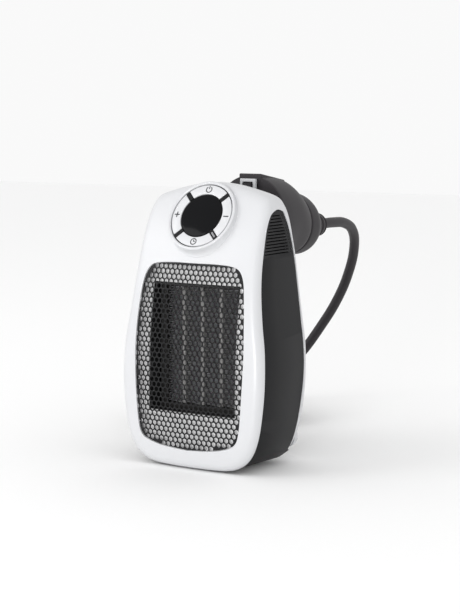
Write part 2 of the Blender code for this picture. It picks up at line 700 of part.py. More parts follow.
def make_fin_stack(name, x0, x1, low, high):
    """Aluminium fins on a thin spine, drawn as one folded outline."""
    pitch = (high - low - FIN_THICK) / (FIN_COUNT - 1)
    middle = (x0 + x1) / 2.0
    spine = FIN_THICK / 2.0
    right, left = [], []
    for k in range(FIN_COUNT):
        z = low + k * pitch
        right += [(x1, z), (x1, z + FIN_THICK)]
        left += [(x0, z), (x0, z + FIN_THICK)]
        if k < FIN_COUNT - 1:
            right += [(middle + spine, z + FIN_THICK), (middle + spine, z + pitch)]
            left += [(middle - spine, z + FIN_THICK), (middle - spine, z + pitch)]
    return prism(name, right + left[::-1], HEATER_FRONT + FIN_RECESS, HEATER_BACK - FIN_RECESS, "aluminium")


def make_fan():
    """Housing plate with its bore, the rotor, the motor and its shaft."""
    hub = (0.0, FAN_Z)
    housing = prism("fan_housing", rectangle(FAN_PLATE_HALF, FAN_Z - FAN_PLATE_TALL, FAN_Z + FAN_PLATE_TALL),
                    FAN_FRONT, FAN_BACK, "black_plastic")
    combine(housing, rod("housing_bore", FAN_RADIUS + FAN_TIP_CLEARANCE, 0.0, FAR, hub, None, 40))
    arms_front = FAN_BACK - ARM_THICK
    reach = FAN_RADIUS + FAN_TIP_CLEARANCE + ARM_THICK
    half = ARM_WIDTH / 2.0
    arms = (block("housing_arm_level", (-reach, arms_front, FAN_Z - half), (reach, FAN_BACK, FAN_Z + half)),
            block("housing_arm_upright", (-half, arms_front, FAN_Z - reach), (half, FAN_BACK, FAN_Z + reach)),
            rod("housing_cup", MOTOR_RADIUS + ARM_THICK, arms_front, FAN_BACK, hub))
    for piece in arms:
        combine(housing, piece, "UNION")
    combine(housing, rod("housing_motor_hole", MOTOR_RADIUS + GAP, 0.0, FAR, hub))
    posts = [rod_mesh(SCREW_SHANK + GAP, FAN_BACK - SCREW_BITE - 2.0 * GAP, FAR, place)
             for place in screw_places()]
    combine(housing, together("housing_post_holes", posts))

    motor_front = FAN_BACK + MOTOR_PROUD - MOTOR_LENGTH
    rotor_front = FAN_FRONT + GAP
    rotor_back = min(rotor_front + FAN_DEPTH, motor_front - 2.0 * GAP, arms_front - GAP)
    motor = rod("fan_motor", MOTOR_RADIUS, motor_front, motor_front + MOTOR_LENGTH, hub, "steel")
    combine(motor, rod("motor_bore", SHAFT_RADIUS + GAP, motor_front - MOTOR_LENGTH,
                       motor_front + MOTOR_LENGTH * 0.6, hub, None, 12))
    rod("motor_shaft", SHAFT_RADIUS, rotor_front + FAN_DEPTH / 8.0, motor_front + MOTOR_LENGTH * 0.5, hub,
        "steel", 12)
    rotor = make_rotor(rotor_front, rotor_back)
    bore_front = rotor_front + FAN_DEPTH / 8.0 - GAP
    combine(rotor, rod("rotor_bore", SHAFT_RADIUS + GAP, bore_front, FAR, hub, None, 12))


def make_rotor(front, back):
    """Hub and twisted blades about an axis along Y, origin on the axis."""
    depth = back - front
    origin = Matrix.Translation(at(0.0, (front + back) / 2.0, FAN_Z))
    hub = prism("fan_rotor", circle(FAN_HUB_RADIUS, 28), -depth / 2.0, depth / 2.0, "black_plastic", origin)
    for k in range(FAN_BLADES):
        angle = TURN * k / FAN_BLADES
        rings = []
        for radius, pitch in ((FAN_HUB_RADIUS * 0.8, 48.0), (FAN_RADIUS * 0.66, 36.0), (FAN_RADIUS, 28.0)):
            chord = 0.62 * TURN * radius / FAN_BLADES
            lean = math.radians(pitch)
            reach = min(chord, 0.92 * depth / math.sin(lean)) / 2.0
            thick = BLADE_THICK / 2.0
            section = []
            for u, v in ((-1, -1), (1, -1), (1, 1), (-1, 1)):
                across = u * reach * math.cos(lean) - v * thick * math.sin(lean)
                along_axis = u * reach * math.sin(lean) + v * thick * math.cos(lean)
                turn = angle + across / radius
                section.append((radius * math.cos(turn), along_axis, radius * math.sin(turn)))
            rings.append(section)
        blade = add_mesh("rotor_blade_%d" % k, loft_mesh(rings), None, origin)
        combine(hub, blade, "UNION")
    return hub


# ----------------------------------------------------------------- the dial
def sector(inner, outer, centre_angle, half_angle_at, steps=8):
    """A ring segment whose straight ends stay parallel to the spokes."""
    loop = []
    for radius, direction in ((outer, 1), (inner, -1)):
        half = half_angle_at(radius)
        for k in range(steps + 1):
            a = centre_angle + direction * half * (2.0 * k / steps - 1.0)
            loop.append((radius * math.cos(a), radius * math.sin(a)))
    return loop


BUTTONS = (("button_minus", 0.0), ("button_power", 90.0), ("button_plus", 180.0), ("button_timer", 270.0))


def make_dial():
    lens = rod("display_lens", LENS_RADIUS, 0.0, LENS_THICK, (0.0, 0.0), "black_gloss", 40, dial_matrix())
    soften(lens, GAP)
    make_carrier()
    for name, degrees in BUTTONS:
        make_button(name, math.radians(degrees))
    make_display_board()


def make_carrier():
    """Disc with a hub and four spokes between the buttons; the lens and caps sit in it."""
    web_end = CARRIER_DEPTH + CARRIER_THICK
    inside_web = CARRIER_DEPTH + CARRIER_THICK / 2.0
    carrier = rod("dial_carrier", DIAL_RADIUS, CARRIER_DEPTH, web_end, (0.0, 0.0), "black_gloss", 48,
                  dial_matrix())
    combine(carrier, rod("carrier_hub", LENS_RADIUS - BUTTON_EDGE_GAP, LENS_THICK + GAP, inside_web,
                         (0.0, 0.0), None, 32, dial_matrix()), "UNION")
    for k in range(4):
        length = BUTTON_BAND - 2.0 * GAP
        spoke = box_mesh((length, inside_web, SPOKE_WIDTH),
                         (LENS_RADIUS + GAP + length / 2.0, inside_web / 2.0, 0.0))
        angle = math.radians(45.0 + 90.0 * k)
        combine(carrier, add_mesh("carrier_spoke_%d" % k, spoke, None, dial_matrix(angle=angle)), "UNION")
    window_place = dial_matrix(angle=math.radians(45.0))
    length = BUTTON_BAND - 2.0 * INDICATOR_MARGIN
    middle = (DIAL_RADIUS + LENS_RADIUS) / 2.0
    pocket = GAP + INDICATOR_THICK
    slot = box_mesh((length, 2.0 * pocket, INDICATOR_WIDTH + 2.0 * GAP), (middle, 0.0, 0.0))
    combine(carrier, add_mesh("carrier_window_slot", slot, None, window_place))
    window = box_mesh((length - 2.0 * GAP, INDICATOR_THICK, INDICATOR_WIDTH),
                      (middle, INDICATOR_THICK / 2.0, 0.0))
    add_mesh("indicator_window", window, "indicator", window_place)
    stems = [stem_place(math.radians(degrees)) for _, degrees in BUTTONS]
    holes = [rod_mesh(BUTTON_STEM + GAP, inside_web - FAR, FAR, place) for place in stems]
    return combine(carrier, together("carrier_stem_holes", holes, dial_matrix()))


def stem_place(angle):
    middle = sum(BUTTON_RING) / 2.0
    return middle * math.cos(angle), middle * math.sin(angle)


def make_button(name, angle):
    inner, outer = BUTTON_RING

    def half_angle(radius):
        return math.radians(45.0) - math.asin((SPOKE_WIDTH / 2.0 + GAP) / radius)

    cap = prism(name, sector(inner, outer, angle, half_angle), 0.0, BUTTON_THICK, "white_abs", dial_matrix())
    return combine(cap, rod(name + "_stem", BUTTON_STEM, BUTTON_THICK / 2.0, STEM_END, stem_place(angle),
                            None, 12, dial_matrix()), "UNION")


def make_display_board():
    switch_top = STEM_END + BUTTON_TRAVEL + GAP
    board_front = switch_top + SWITCH_HEIGHT + GAP
    rod("display_board", DIAL_RADIUS - BUTTON_EDGE_GAP, board_front, board_front + BOARD_THICK, (0.0, 0.0),
        "circuit_board", 32, dial_matrix())
    for name, degrees in BUTTONS:
        x, z = stem_place(math.radians(degrees))
        half = SWITCH_SIZE / 2.0
        loop = [(x + a * half, z + b * half) for a, b in ((-1, -1), (1, -1), (1, 1), (-1, 1))]
        prism(name.replace("button", "switch"), loop, switch_top, switch_top + SWITCH_HEIGHT,
              "black_plastic", dial_matrix())


# ------------------------------------------------------- electrics and plug
def make_electrics():
    half = DUCT_HALF_WIDTH - HEATER_SIDE
    top = SHELF_Z + BOARD_THICK
    block("control_board", (-half, CONTROL_BOARD_FRONT, SHELF_Z),
          (half, CONTROL_BOARD_FRONT + CONTROL_BOARD_DEPTH, top), "circuit_board")
    low = Vector((HEATER_SIDE - half, CONTROL_BOARD_FRONT + RELAY_SIZE[1] / 3.0, top + GAP))
    relay = block("power_relay", low, low + Vector(RELAY_SIZE), "black_plastic")
    soften(relay, 2.0 * GAP)
    centre = (RELAY_SIZE[0] * 0.75, top + GAP + CUTOUT_RADIUS)
    rod("thermal_cutout", CUTOUT_RADIUS, CONTROL_BOARD_FRONT, CONTROL_BOARD_FRONT + CUTOUT_LENGTH, centre,
        "steel", 20)


def make_plug():
    """Round plug on the heater's back: base, barrel, two pins and the latch loop."""
    axis = (0.0, PLUG_Z)
    front = back_y(0.0, CROWN_Z - REAR_RIM) + PLUG_BASE_CLEARANCE
    base = rod("plug_base", PLUG_BASE_RADIUS, front, PLUG_BASE_END, axis, "charcoal_abs", 40)
    combine(base, block("plug_loop_pad", (-LOOP_WIDTH / 2.0, PLUG_BASE_END - 2.0 * LOOP_THICK, PLUG_Z),
                        (LOOP_WIDTH / 2.0, PLUG_BASE_END, LOOP_FOOT - GAP)), "UNION")
    combine(base, rod("plug_barrel", PLUG_RADIUS, PLUG_BASE_END - LOOP_THICK, PLUG_BASE_END + PLUG_LENGTH,
                      axis, None, 40), "UNION")
    tip = PLUG_BASE_END + PLUG_LENGTH + PIN_LENGTH
    for k, side in enumerate((-1, 1)):
        place = (side * PIN_SPACING / 2.0, PLUG_Z)
        combine(base, rod("plug_pin_hole_%d" % k, PIN_RADIUS + GAP, PLUG_BASE_END, FAR, place, None, 16))
        profile = [(PLUG_BASE_END + GAP, PIN_RADIUS), (tip - PIN_RADIUS * 0.8, PIN_RADIUS),
                   (tip - PIN_RADIUS * 0.2, PIN_RADIUS * 0.8), (tip, PIN_RADIUS * 0.4)]
        turned("plug_pin_%d" % (k + 1), profile, place, "brass", 16)
    make_latch_loop()
    return base


def loop_rect(inset=0.0):
    return rectangle(LOOP_WIDTH / 2.0 - inset, LOOP_FOOT + inset, LOOP_TOP - inset)


def make_latch_loop():
    back = PLUG_BASE_END - LOOP_SETBACK
    loop = prism("latch_loop", loop_rect(), back - LOOP_THICK, back, "white_abs")
    combine(loop, prism("loop_window", loop_rect(LOOP_BAR), 0.0, FAR))
    return soften(loop, GAP)


# --------------------------------------------------------- the lead's socket
# Share of the socket's length, share of its radius, share of the drop of its middle.
SOCKET_FORM = ((0.0, 0.985, 0.0), (0.03, 1.0, 0.0), (0.16, 0.995, 0.02), (0.36, 0.955, 0.08),
               (0.48, 0.915, 0.27), (0.58, 0.86, 0.53), (0.655, 0.79, 0.655), (0.665, 0.80, 0.665),
               (0.78, 0.795, 0.74), (0.83, 0.775, 0.78), (0.90, 0.70, 0.84), (1.0, 0.54, 0.97))


def make_socket():
    rings = []
    for share, radius, drop in SOCKET_FORM:
        y = SOCKET_FACE + share * SOCKET_LENGTH
        centre = (0.0, SOCKET_Z - drop * SOCKET_DROP)
        rings.append([(x, y, z) for x, z in circle(radius * SOCKET_RADIUS, 36, centre)])
    datum = Matrix.Translation((0.0, DATUM_Y, 0.0))
    socket = add_mesh("lead_socket", loft_mesh(rings), "rubber", datum)
    top = SOCKET_Z + SOCKET_RADIUS + LATCH_RISE
    low = SOCKET_Z + SOCKET_RADIUS / 2.0
    rear = SOCKET_FACE + LATCH_LENGTH
    slope = [(SOCKET_FACE, low), (SOCKET_FACE, top), (rear, top - LATCH_FALL), (rear, low)]
    tab = prism_mesh(slope, -LATCH_WIDTH / 2.0, LATCH_WIDTH / 2.0, axis="X")
    combine(socket, add_mesh("socket_tab", tab, None, datum), "UNION")
    axis = (0.0, PLUG_Z)
    bore_end = SOCKET_FACE + PLUG_LENGTH + BORE_MARGIN
    insert_end = bore_end + PIN_LENGTH
    combine(socket, rod("socket_bore", PLUG_RADIUS + SOCKET_WALL_GAP, 0.0, bore_end, axis, None, 36))
    combine(socket, rod("socket_insert_bore", INSERT_RADIUS + GAP, 0.0, insert_end + GAP, axis, None, 36))
    insert = rod("socket_insert", INSERT_RADIUS, bore_end, insert_end, axis, "black_plastic", 32)
    holes = [rod_mesh(PIN_RADIUS + 2.0 * GAP, 0.0, FAR, (side * PIN_SPACING / 2.0, PLUG_Z), 16)
             for side in (-1, 1)]
    combine(insert, together("insert_pin_holes", holes))
    make_latch_tongue()
    make_strain_relief()


def make_latch_tongue():
    """Spring tongue of the socket that reaches through the white loop."""
    half = LOOP_WIDTH / 2.0 - LOOP_BAR - TONGUE_CLEARANCE
    low, high = LOOP_FOOT + LOOP_BAR + TONGUE_CLEARANCE, LOOP_TOP - LOOP_BAR - TONGUE_CLEARANCE
    front = PLUG_BASE_END - LOOP_SETBACK - LOOP_THICK - TONGUE_REACH
    return block("latch_tongue", (-half, front, low), (half, SOCKET_FACE - GAP, high), "black_plastic")


def make_strain_relief():
    """Ribbed sleeve that tapers from the socket's neck down to the cord."""
    profile = [(RELIEF_START, RELIEF_RADIUS)]
    rib = RELIEF_LENGTH / (RELIEF_RIBS + 1)
    groove = rib / 8.0
    for k in range(RELIEF_RIBS):
        y = RELIEF_START + (k + 0.55) * rib
        radius = RELIEF_RADIUS * (1.0 - 0.02 * k)
        profile += [(y, radius), (y + groove, radius * 0.92), (y + 3.0 * groove, radius * 0.92),
                    (y + 4.0 * groove, radius * 0.98)]
    profile += [(LEAD_END - 2.0 * groove, RELIEF_RADIUS * 0.90), (LEAD_END, CORD_RADIUS * 1.5)]
    return turned("strain_relief", profile, (0.0, CORD_Z), "rubber", 18)


# ------------------------------------------------------------------- the cord
# The route's own points, Y from the datum: out of the sleeve, down behind the
# heater, and along the standing surface into the coil.
CORD_ROUTE = ((0.0, 0.1678, 0.1464), (0.0, 0.1885, 0.1465), (-0.001, 0.2080, 0.1448), (-0.004, 0.2262, 0.1378),
              (-0.010, 0.2400, 0.1240), (-0.019, 0.2488, 0.1045), (-0.031, 0.2528, 0.0820),
              (-0.045, 0.2520, 0.0600), (-0.060, 0.2470, 0.0380), (-0.076, 0.2390, 0.0195),
              (-0.0915, 0.2280, 0.0080), (-0.1040, 0.2130, 0.0042), (-0.1115, 0.1945, 0.0040))
COIL_CENTRE = (-0.0725, 0.1600)
COIL_FOOT = TIE_THICK + 2.0 * GAP
TAIL_ROUTE = ((-0.0970, 0.1135, 0.0192), (-0.0880, 0.1075, 0.0190), (-0.0790, 0.1010, 0.0187),
              (-0.0705, 0.0940, 0.0185), (-0.0610, 0.0930, 0.0185))
PLUG_PLACE = (-0.0400, 0.0930, 0.0185)
TIE_ANGLE = math.radians(318.0)


def make_cord(name, route):
    points = [at(*p) for p in spline(route, 2)]
    curve = bpy.data.curves.new(name, "CURVE")
    curve.dimensions = "3D"
    curve.bevel_depth = CORD_RADIUS
    curve.bevel_resolution = 2
    curve.use_fill_caps = True
    line = curve.splines.new("POLY")
    line.points.add(len(points) - 1)
    for target, point in zip(line.points, points):
        target.co = (*point, 1.0)
    cord = bpy.data.objects.new(name, curve)
    PARTS.objects.link(cord)
    curve.materials.append(material("rubber"))
    return cord


def make_cord_coil():
    x, y = COIL_CENTRE
    centre = Matrix.Translation(at(x, y, COIL_FOOT))
    inner, outer = COIL_MEAN_RADIUS - COIL_WIDTH / 2.0, COIL_MEAN_RADIUS + COIL_WIDTH / 2.0
    edge = COIL_EDGE
    profile = [(inner, edge), (inner + edge, 0.0), (outer - edge, 0.0), (outer, edge),
               (outer, COIL_HEIGHT - edge), (outer - edge, COIL_HEIGHT), (inner + edge, COIL_HEIGHT),
               (inner, COIL_HEIGHT - edge)]
    steps = 28
    bm = bmesh.new()
    rows = [[bm.verts.new((r * math.cos(TURN * k / steps), r * math.sin(TURN * k / steps), z))
             for r, z in profile] for k in range(steps)]
    for k, row in enumerate(rows):
        following = rows[(k + 1) % steps]
        for i in range(len(profile)):
            j = (i + 1) % len(profile)
            bm.faces.new((row[i], row[j], following[j], following[i]))
    return add_mesh("cord_coil", bm, "rubber", centre)


def make_coil_tie():
    """A strap around the coil's turns at one place, flat on the surface."""
    x, y = COIL_CENTRE
    place = (Matrix.Translation(at(x, y, 0.0)) @ Matrix.Rotation(TIE_ANGLE, 4, "Z")
             @ Matrix.Translation((COIL_MEAN_RADIUS, 0.0, 0.0)))
    half = COIL_WIDTH / 2.0 + 2.0 * GAP
    low, high = COIL_FOOT - GAP, COIL_FOOT + COIL_HEIGHT + GAP
    outer = [(-half - TIE_THICK, low - TIE_THICK), (half + TIE_THICK, low - TIE_THICK),
             (half + TIE_THICK, high + TIE_THICK), (-half - TIE_THICK, high + TIE_THICK)]
    inner = [(-half, low), (half, low), (half, high), (-half, high)]
    tie = prism("coil_tie", outer, -TIE_WIDTH / 2.0, TIE_WIDTH / 2.0, "black_plastic", place)
    return combine(tie, prism("tie_opening", inner, -TIE_WIDTH, TIE_WIDTH, None, place))


# Distance along the plug from its place, radius: sleeve, waist, collar and face.
MAINS_PLUG_FORM = ((-0.020, 0.0055), (-0.016, 0.0075), (-0.002, 0.0105), (0.004, 0.0155), (0.012, 0.0182),
                   (0.026, 0.0182), (0.029, 0.0170))
MAINS_PIN_TIP = 0.048


def make_mains_plug():
    """Plug on the far end, lying on the standing surface between coil and heater."""
    place = Matrix.Translation(at(*PLUG_PLACE)) @ Matrix.Rotation(math.radians(-90.0), 4, "Z")
    rings = [[(u, s, v) for u, v in circle(r, 28)] for s, r in MAINS_PLUG_FORM]
    plug = add_mesh("mains_plug", loft_mesh(rings), "rubber", place)
    face = MAINS_PLUG_FORM[-1][0]
    seat = face - 0.011
    for k, side in enumerate((-1, 1)):
        across = (side * PIN_SPACING / 2.0, 0.0)
        hole = prism_mesh(circle(PIN_RADIUS + GAP, 16, across), seat, FAR)
        combine(plug, add_mesh("mains_pin_hole_%d" % k, hole, None, place))
        profile = ((seat + GAP, 1.0), (MAINS_PIN_TIP - PIN_RADIUS * 0.8, 1.0), (MAINS_PIN_TIP, 0.5))
        rings = [[(u, s, v) for u, v in circle(PIN_RADIUS * share, 16, across)] for s, share in profile]
        add_mesh("mains_pin_%d" % (k + 1), loft_mesh(rings), "brass", place)
    return plug


# -------------------------------------------------------- feet and fasteners
def make_feet():
    places = [(x, y) for y in (PAD_FRONT, BODY_DEPTH - PAD_REAR) for x in (-PAD_X, PAD_X)]
    for k, (x, y) in enumerate(places):
        pad_top = BASE_Z + foot_rise(x) + PANEL_INSET - GAP
        middle = Matrix.Translation(at(x, y, pad_top / 2.0))
        bm = bmesh.new()
        bmesh.ops.create_cone(bm, cap_ends=True, segments=20, radius1=PAD_RADIUS, radius2=PAD_RADIUS,
                              depth=pad_top, matrix=middle)
        add_mesh("foot_pad_%d" % (k + 1), bm, "rubber")


def foot_rise(x):
    """Height of the body's lower outline above its lowest point, at a pad's inner edge."""
    knots = tuple((p[0] * BODY_HALF_WIDTH, p[1] * BODY_HEIGHT) for p in POD[:5])
    return along(knots, abs(x) - PAD_RADIUS)


def make_rear_bumpers():
    wide, tall = BUMPER_SIZE
    z = BUMPER_RISE
    for name, side in (("rear_bumper_left", -1), ("rear_bumper_right", 1)):
        x = side * (BODY_HALF_WIDTH - BUMPER_SIDE)
        y = max(back_y(x - side * wide, z + tall), back_y(x, z + tall)) + GAP
        rings = []
        for share, size in ((0.0, 1.0), (0.45, 0.97), (0.8, 0.80), (1.0, 0.45)):
            rings.append([(x + wide * size * u, y + share * BUMPER_THICK, z + tall * size * v)
                          for u, v in circle(1.0, 18)])
        add_mesh(name, loft_mesh(rings), "white_abs", Matrix.Translation((0.0, DATUM_Y, 0.0)))


def make_screws():
    for k, (x, z) in enumerate(screw_places()):
        seat = max(back_y(x + SCREW_HEAD, z), back_y(x - SCREW_HEAD, z), back_y(x, z)) + GAP
        turned("cover_screw_%d" % (k + 1),
               [(FAN_BACK - SCREW_BITE, SCREW_SHANK * 0.6), (FAN_BACK - SCREW_BITE * 0.7, SCREW_SHANK),
                (seat, SCREW_SHANK), (seat, SCREW_HEAD), (seat + SCREW_HEAD_HEIGHT * 0.55, SCREW_HEAD),
                (seat + SCREW_HEAD_HEIGHT, SCREW_HEAD * 0.55)], (x, z), "steel", 14)


def main():
    make_outer_shell()
    make_side_panel("side_panel_left", -1)
    make_side_panel("side_panel_right", 1)
    make_base_plate()
    make_rear_cover()
    make_grille()
    make_surround()
    make_air_duct()
    make_heater()
    make_fan()
    make_dial()
    make_electrics()
    make_plug()
    make_socket()
    make_cord("cord", CORD_ROUTE)
    make_cord("cord_tail", TAIL_ROUTE)
    make_cord_coil()
    make_coil_tie()
    make_mains_plug()
    make_feet()
    make_rear_bumpers()
    make_screws()


clear_scene()
PARTS = new_collection("ceramic_fan_heater")
CUTTERS = new_collection("cutters")
main()
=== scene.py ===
"""Looks of the ceramic fan heater and its lead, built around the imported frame.

Units are metres, +Z up, the heater faces -Y.  Y values of the heater's own form
are measured from DATUM_Y, the plane that touches the foot of the front grille.
"""
import math

import bmesh
import bpy
from mathutils import Matrix, Vector


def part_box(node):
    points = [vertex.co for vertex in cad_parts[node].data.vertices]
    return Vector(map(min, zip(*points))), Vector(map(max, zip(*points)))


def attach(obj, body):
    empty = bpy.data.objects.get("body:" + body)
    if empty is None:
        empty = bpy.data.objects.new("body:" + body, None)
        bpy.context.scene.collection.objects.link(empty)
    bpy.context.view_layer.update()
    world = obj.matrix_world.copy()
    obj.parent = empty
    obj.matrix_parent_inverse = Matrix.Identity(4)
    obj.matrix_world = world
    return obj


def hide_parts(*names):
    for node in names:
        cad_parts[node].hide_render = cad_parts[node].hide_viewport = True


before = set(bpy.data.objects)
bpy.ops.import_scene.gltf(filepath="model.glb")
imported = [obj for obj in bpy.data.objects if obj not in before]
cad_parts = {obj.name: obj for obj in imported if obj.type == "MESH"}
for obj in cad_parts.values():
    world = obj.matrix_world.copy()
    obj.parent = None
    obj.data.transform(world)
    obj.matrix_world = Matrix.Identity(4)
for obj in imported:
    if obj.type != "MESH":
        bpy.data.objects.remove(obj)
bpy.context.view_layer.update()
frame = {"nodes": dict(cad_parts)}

TURN = 2.0 * math.pi

# ---------------------------------------------------------------- dimensions
# Clearances and walls.
GAP = 0.0003                    # between pieces that seat in each other
WALL = 0.0020                   # shell, panels and cover
FAR = 0.30                      # reach of cutters that pass right through
DUCT_END = 0.0160               # the air duct's rear end, from the datum
SHELL_BEVEL = 0.0004
PANEL_BEVEL = 0.00018
BASE_BEVEL = 0.0002
COVER_BEVEL = 0.0003
CAP_BEVEL = 0.00035
TAB_BEVEL = 0.0009
SOCKET_BEVEL = 0.0006
DATUM_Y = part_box("air_duct")[1][1] - DUCT_END

# Body: its own box comes from the frame.
BODY_HEIGHT = 0.1807
BODY_HALF_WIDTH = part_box("outer_shell")[1][0]
BODY_DEPTH = 0.0622             # side wall, front edge to rear edge
BASE_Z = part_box("outer_shell")[0][2]
CROWN_Z = BASE_Z + BODY_HEIGHT
MID_Z = BASE_Z + BODY_HEIGHT / 2.0
FACE_BOW = 0.0030               # how far the faces curve back at the sides
EDGE_RADIUS = 0.0050
EDGE_TURNS = 5                  # steps round the edge radius
REAR_RIM = 0.0090               # white frame left around the rear cover
PANEL_INSET = 0.0005
PANEL_SHELF = 0.0081            # height of the shelf behind the side panels
BASE_HALF_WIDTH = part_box("base_plate")[1][0]
OUTLINE_STEPS = 6               # curve steps between the outline's points

# Louvres of the side panels.
LOUVRES = 13
LOUVRE_PITCH = 0.00198
LOUVRE_HEIGHT = 0.0007
LOUVRE_DROP = 0.0203            # first louvre, below the crown
LOUVRE_FRONT_MARGIN = 0.0024
LOUVRE_REAR_MARGIN = 0.0060
DIMPLE_RADIUS = 0.0004
DIMPLE_GAP = 0.0022             # dimple's centre, behind its louvre

# Dial: lens, four buttons and the boss around them, leaning back with the face.
DIAL_LEAN = math.radians(30.0)
DIAL_RIM = 0.0020
DIAL_RISE = 0.0004
DIAL_PROUD = 0.0028
DIAL_RADIUS = 0.0219
DIAL_SEAT = 0.0075
DIAL_CENTRE_Z = CROWN_Z + DIAL_RISE - (DIAL_RADIUS + DIAL_RIM) * math.cos(DIAL_LEAN)
DIAL_STEPS = 128
LENS_RADIUS = 0.0148
LENS_RISE = 0.0004
LENS_EDGE = 0.0005
LENS_BACK = 0.0016
SPOKE_WIDTH = 0.0026
BUTTON_THICK = 0.0015
BUTTON_GAP = 0.0004             # between a cap and the lens or the rim
BOSS_CREST = 0.0007             # rounded lip around the dial: how far it stands out
BOSS_OVERLAP = 0.001            # the boss is this much too thick inside; the bore cuts it back
COVE_DEPTH = 0.0058
COVE_FLARE = 0.0022
SYMBOL_SIZE = 0.0020
SYMBOL_LINE = 0.00068
PRINT_THICK = 0.00005

# Front grille.
GRILLE_LOW, GRILLE_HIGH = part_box("front_grille")
GRILLE_HALF_WIDTH = GRILLE_HIGH[0]
GRILLE_FOOT, GRILLE_TOP = GRILLE_LOW[2], GRILLE_HIGH[2]
GRILLE_RECESS = 0.0006
GRILLE_THICK = 0.0007
GRILLE_PITCH = 0.00362
GRILLE_HOLE = 0.00150           # radius of a hole
GRILLE_OVERRUN = 0.0009         # how far a hole's far edge may pass the sheet's outline

# Fan inlet in the rear cover, and the heater's foil.
FAN_Z = (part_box("air_duct")[0][2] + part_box("air_duct")[1][2]) / 2.0
INTAKE_PITCH = 0.0042
INTAKE_WIDTH = 0.0021
SCREW_HOLE_RADIUS = 0.0016
FIN_PITCH = 0.0015
FIN_FOIL = 0.00016

PLUG_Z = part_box("plug_base")[0][2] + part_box("plug_base")[1][0]

# ----------------------------------------------------------------- body form
OUTLINE = ((0.0, 0.0), (0.30, 0.001), (0.54, 0.006), (0.70, 0.023), (0.82, 0.055), (0.905, 0.105),
           (0.965, 0.182), (1.0, 0.30), (0.985, 0.42), (0.93, 0.53), (0.885, 0.65), (0.860, 0.78),
           (0.852, 0.88), (0.825, 0.925), (0.752, 0.9535), (0.50, 0.977), (0.25, 0.993), (0.0, 1.0))
POD = ((0.0, 0.0), (0.30, 0.0005), (0.54, 0.002), (0.68, 0.009), (0.78, 0.026), (0.87, 0.055),
       (0.945, 0.130)) + OUTLINE[7:]
FACE = ((0.0, -0.015), (0.06, -0.036), (0.18, -0.042), (0.31, -0.042), (0.48, -0.013), (0.61, 0.038),
        (0.68, 0.080), (0.745, 0.128), (0.81, 0.190), (0.885, 0.291), (1.0, 0.480))
BACK = ((0.0, 0.82), (0.06, 0.90), (0.18, 0.95), (0.32, 0.975), (0.48, 0.995), (0.61, 0.980),
        (0.745, 0.932), (0.85, 0.848), (0.92, 0.765), (1.0, 0.66))
PANEL_FRONT = ((0.0, 0.080), (0.08, 0.086), (0.20, 0.086), (0.34, 0.103), (0.48, 0.137), (0.61, 0.175),
               (0.70, 0.218), (0.78, 0.279), (0.845, 0.338), (0.885, 0.404), (0.901, 0.468))
PANEL_REAR = ((0.901, 0.677), (0.885, 0.709), (0.845, 0.776), (0.78, 0.854), (0.68, 0.909), (0.58, 0.926),
              (0.48, 0.917), (0.34, 0.893), (0.20, 0.855), (0.08, 0.800), (PANEL_SHELF / BODY_HEIGHT, 0.780))
PANEL_APEX = (0.9105, 0.572)


# ------------------------------------------------------------------ materials
class Value:
    """A shader socket that takes part in Python expressions."""

    def __init__(self, tree, socket):
        self.tree = tree
        self.socket = socket

    def _math(self, operation, first, second):
        node = self.tree.nodes.new("ShaderNodeMath")
        node.operation = operation
        for slot, item in zip(node.inputs, (first, second)):
            if isinstance(item, Value):
                self.tree.links.new(item.socket, slot)
            else:
                slot.default_value = item
        return Value(self.tree, node.outputs[0])

    def __add__(self, other):
        return self._math("ADD", self, other)

    def __radd__(self, other):
        return self._math("ADD", other, self)

    def __mul__(self, other):
        return self._math("MULTIPLY", self, other)

    def __rmul__(self, other):
        return self._math("MULTIPLY", other, self)


class Finish:
    """One Principled material and the nodes that shape its surface."""

    def __init__(self, name, colour, roughness, metallic=0.0, **constants):
        self.material = bpy.data.materials.new(name)
        self.material.use_nodes = True
        self.tree = self.material.node_tree
        self.shader = self.tree.nodes["Principled BSDF"]
        self.shader.inputs["Base Color"].default_value = (*colour, 1.0)
        self.shader.inputs["Roughness"].default_value = roughness
        self.shader.inputs["Metallic"].default_value = metallic
        for label, value in constants.items():
            self.shader.inputs[label.replace("_", " ")].default_value = value
        self.place = self.node("ShaderNodeTexCoord")["Object"]

    def node(self, kind, settings=None, **sockets):
        """Add a node; sockets are set by name with spaces written as underscores."""
        made = self.tree.nodes.new(kind)
        for key, value in (settings or {}).items():
            if key == "stops":
                ramp = made.color_ramp
                while len(ramp.elements) < len(value):
                    ramp.elements.new(1.0)
                for element, (position, tone) in zip(ramp.elements, value):
                    element.position = position
                    element.color = (*tone, 1.0)
            else:
                setattr(made, key, value)
        for label, value in sockets.items():
            socket = made.inputs[label.replace("_", " ")]
            if isinstance(value, Value):
                self.tree.links.new(value.socket, socket)
            else:
                socket.default_value = value
        return {output.name: Value(self.tree, output) for output in made.outputs}

    def noise(self, scale, detail=2.0):
        return self.node("ShaderNodeTexNoise", Vector=self.place, Scale=scale, Detail=detail)["Fac"]

    def feed(self, label, value):
        self.tree.links.new(value.socket, self.shader.inputs[label])

    def tone(self, mask, dark, light):
        """Base colour that moves from dark to light as mask goes from 0 to 1."""
        ramp = self.node("ShaderNodeValToRGB", {"stops": ((0.0, dark), (1.0, light))}, Fac=mask)
        self.feed("Base Color", ramp["Color"])

    def bump(self, height, distance):
        normal = self.node("ShaderNodeBump", Height=height, Distance=distance, Strength=1.0)["Normal"]
        self.feed("Normal", normal)


def shade(colour, factor):
    """The colour made darker or lighter by a factor."""
    return tuple(channel * factor for channel in colour)


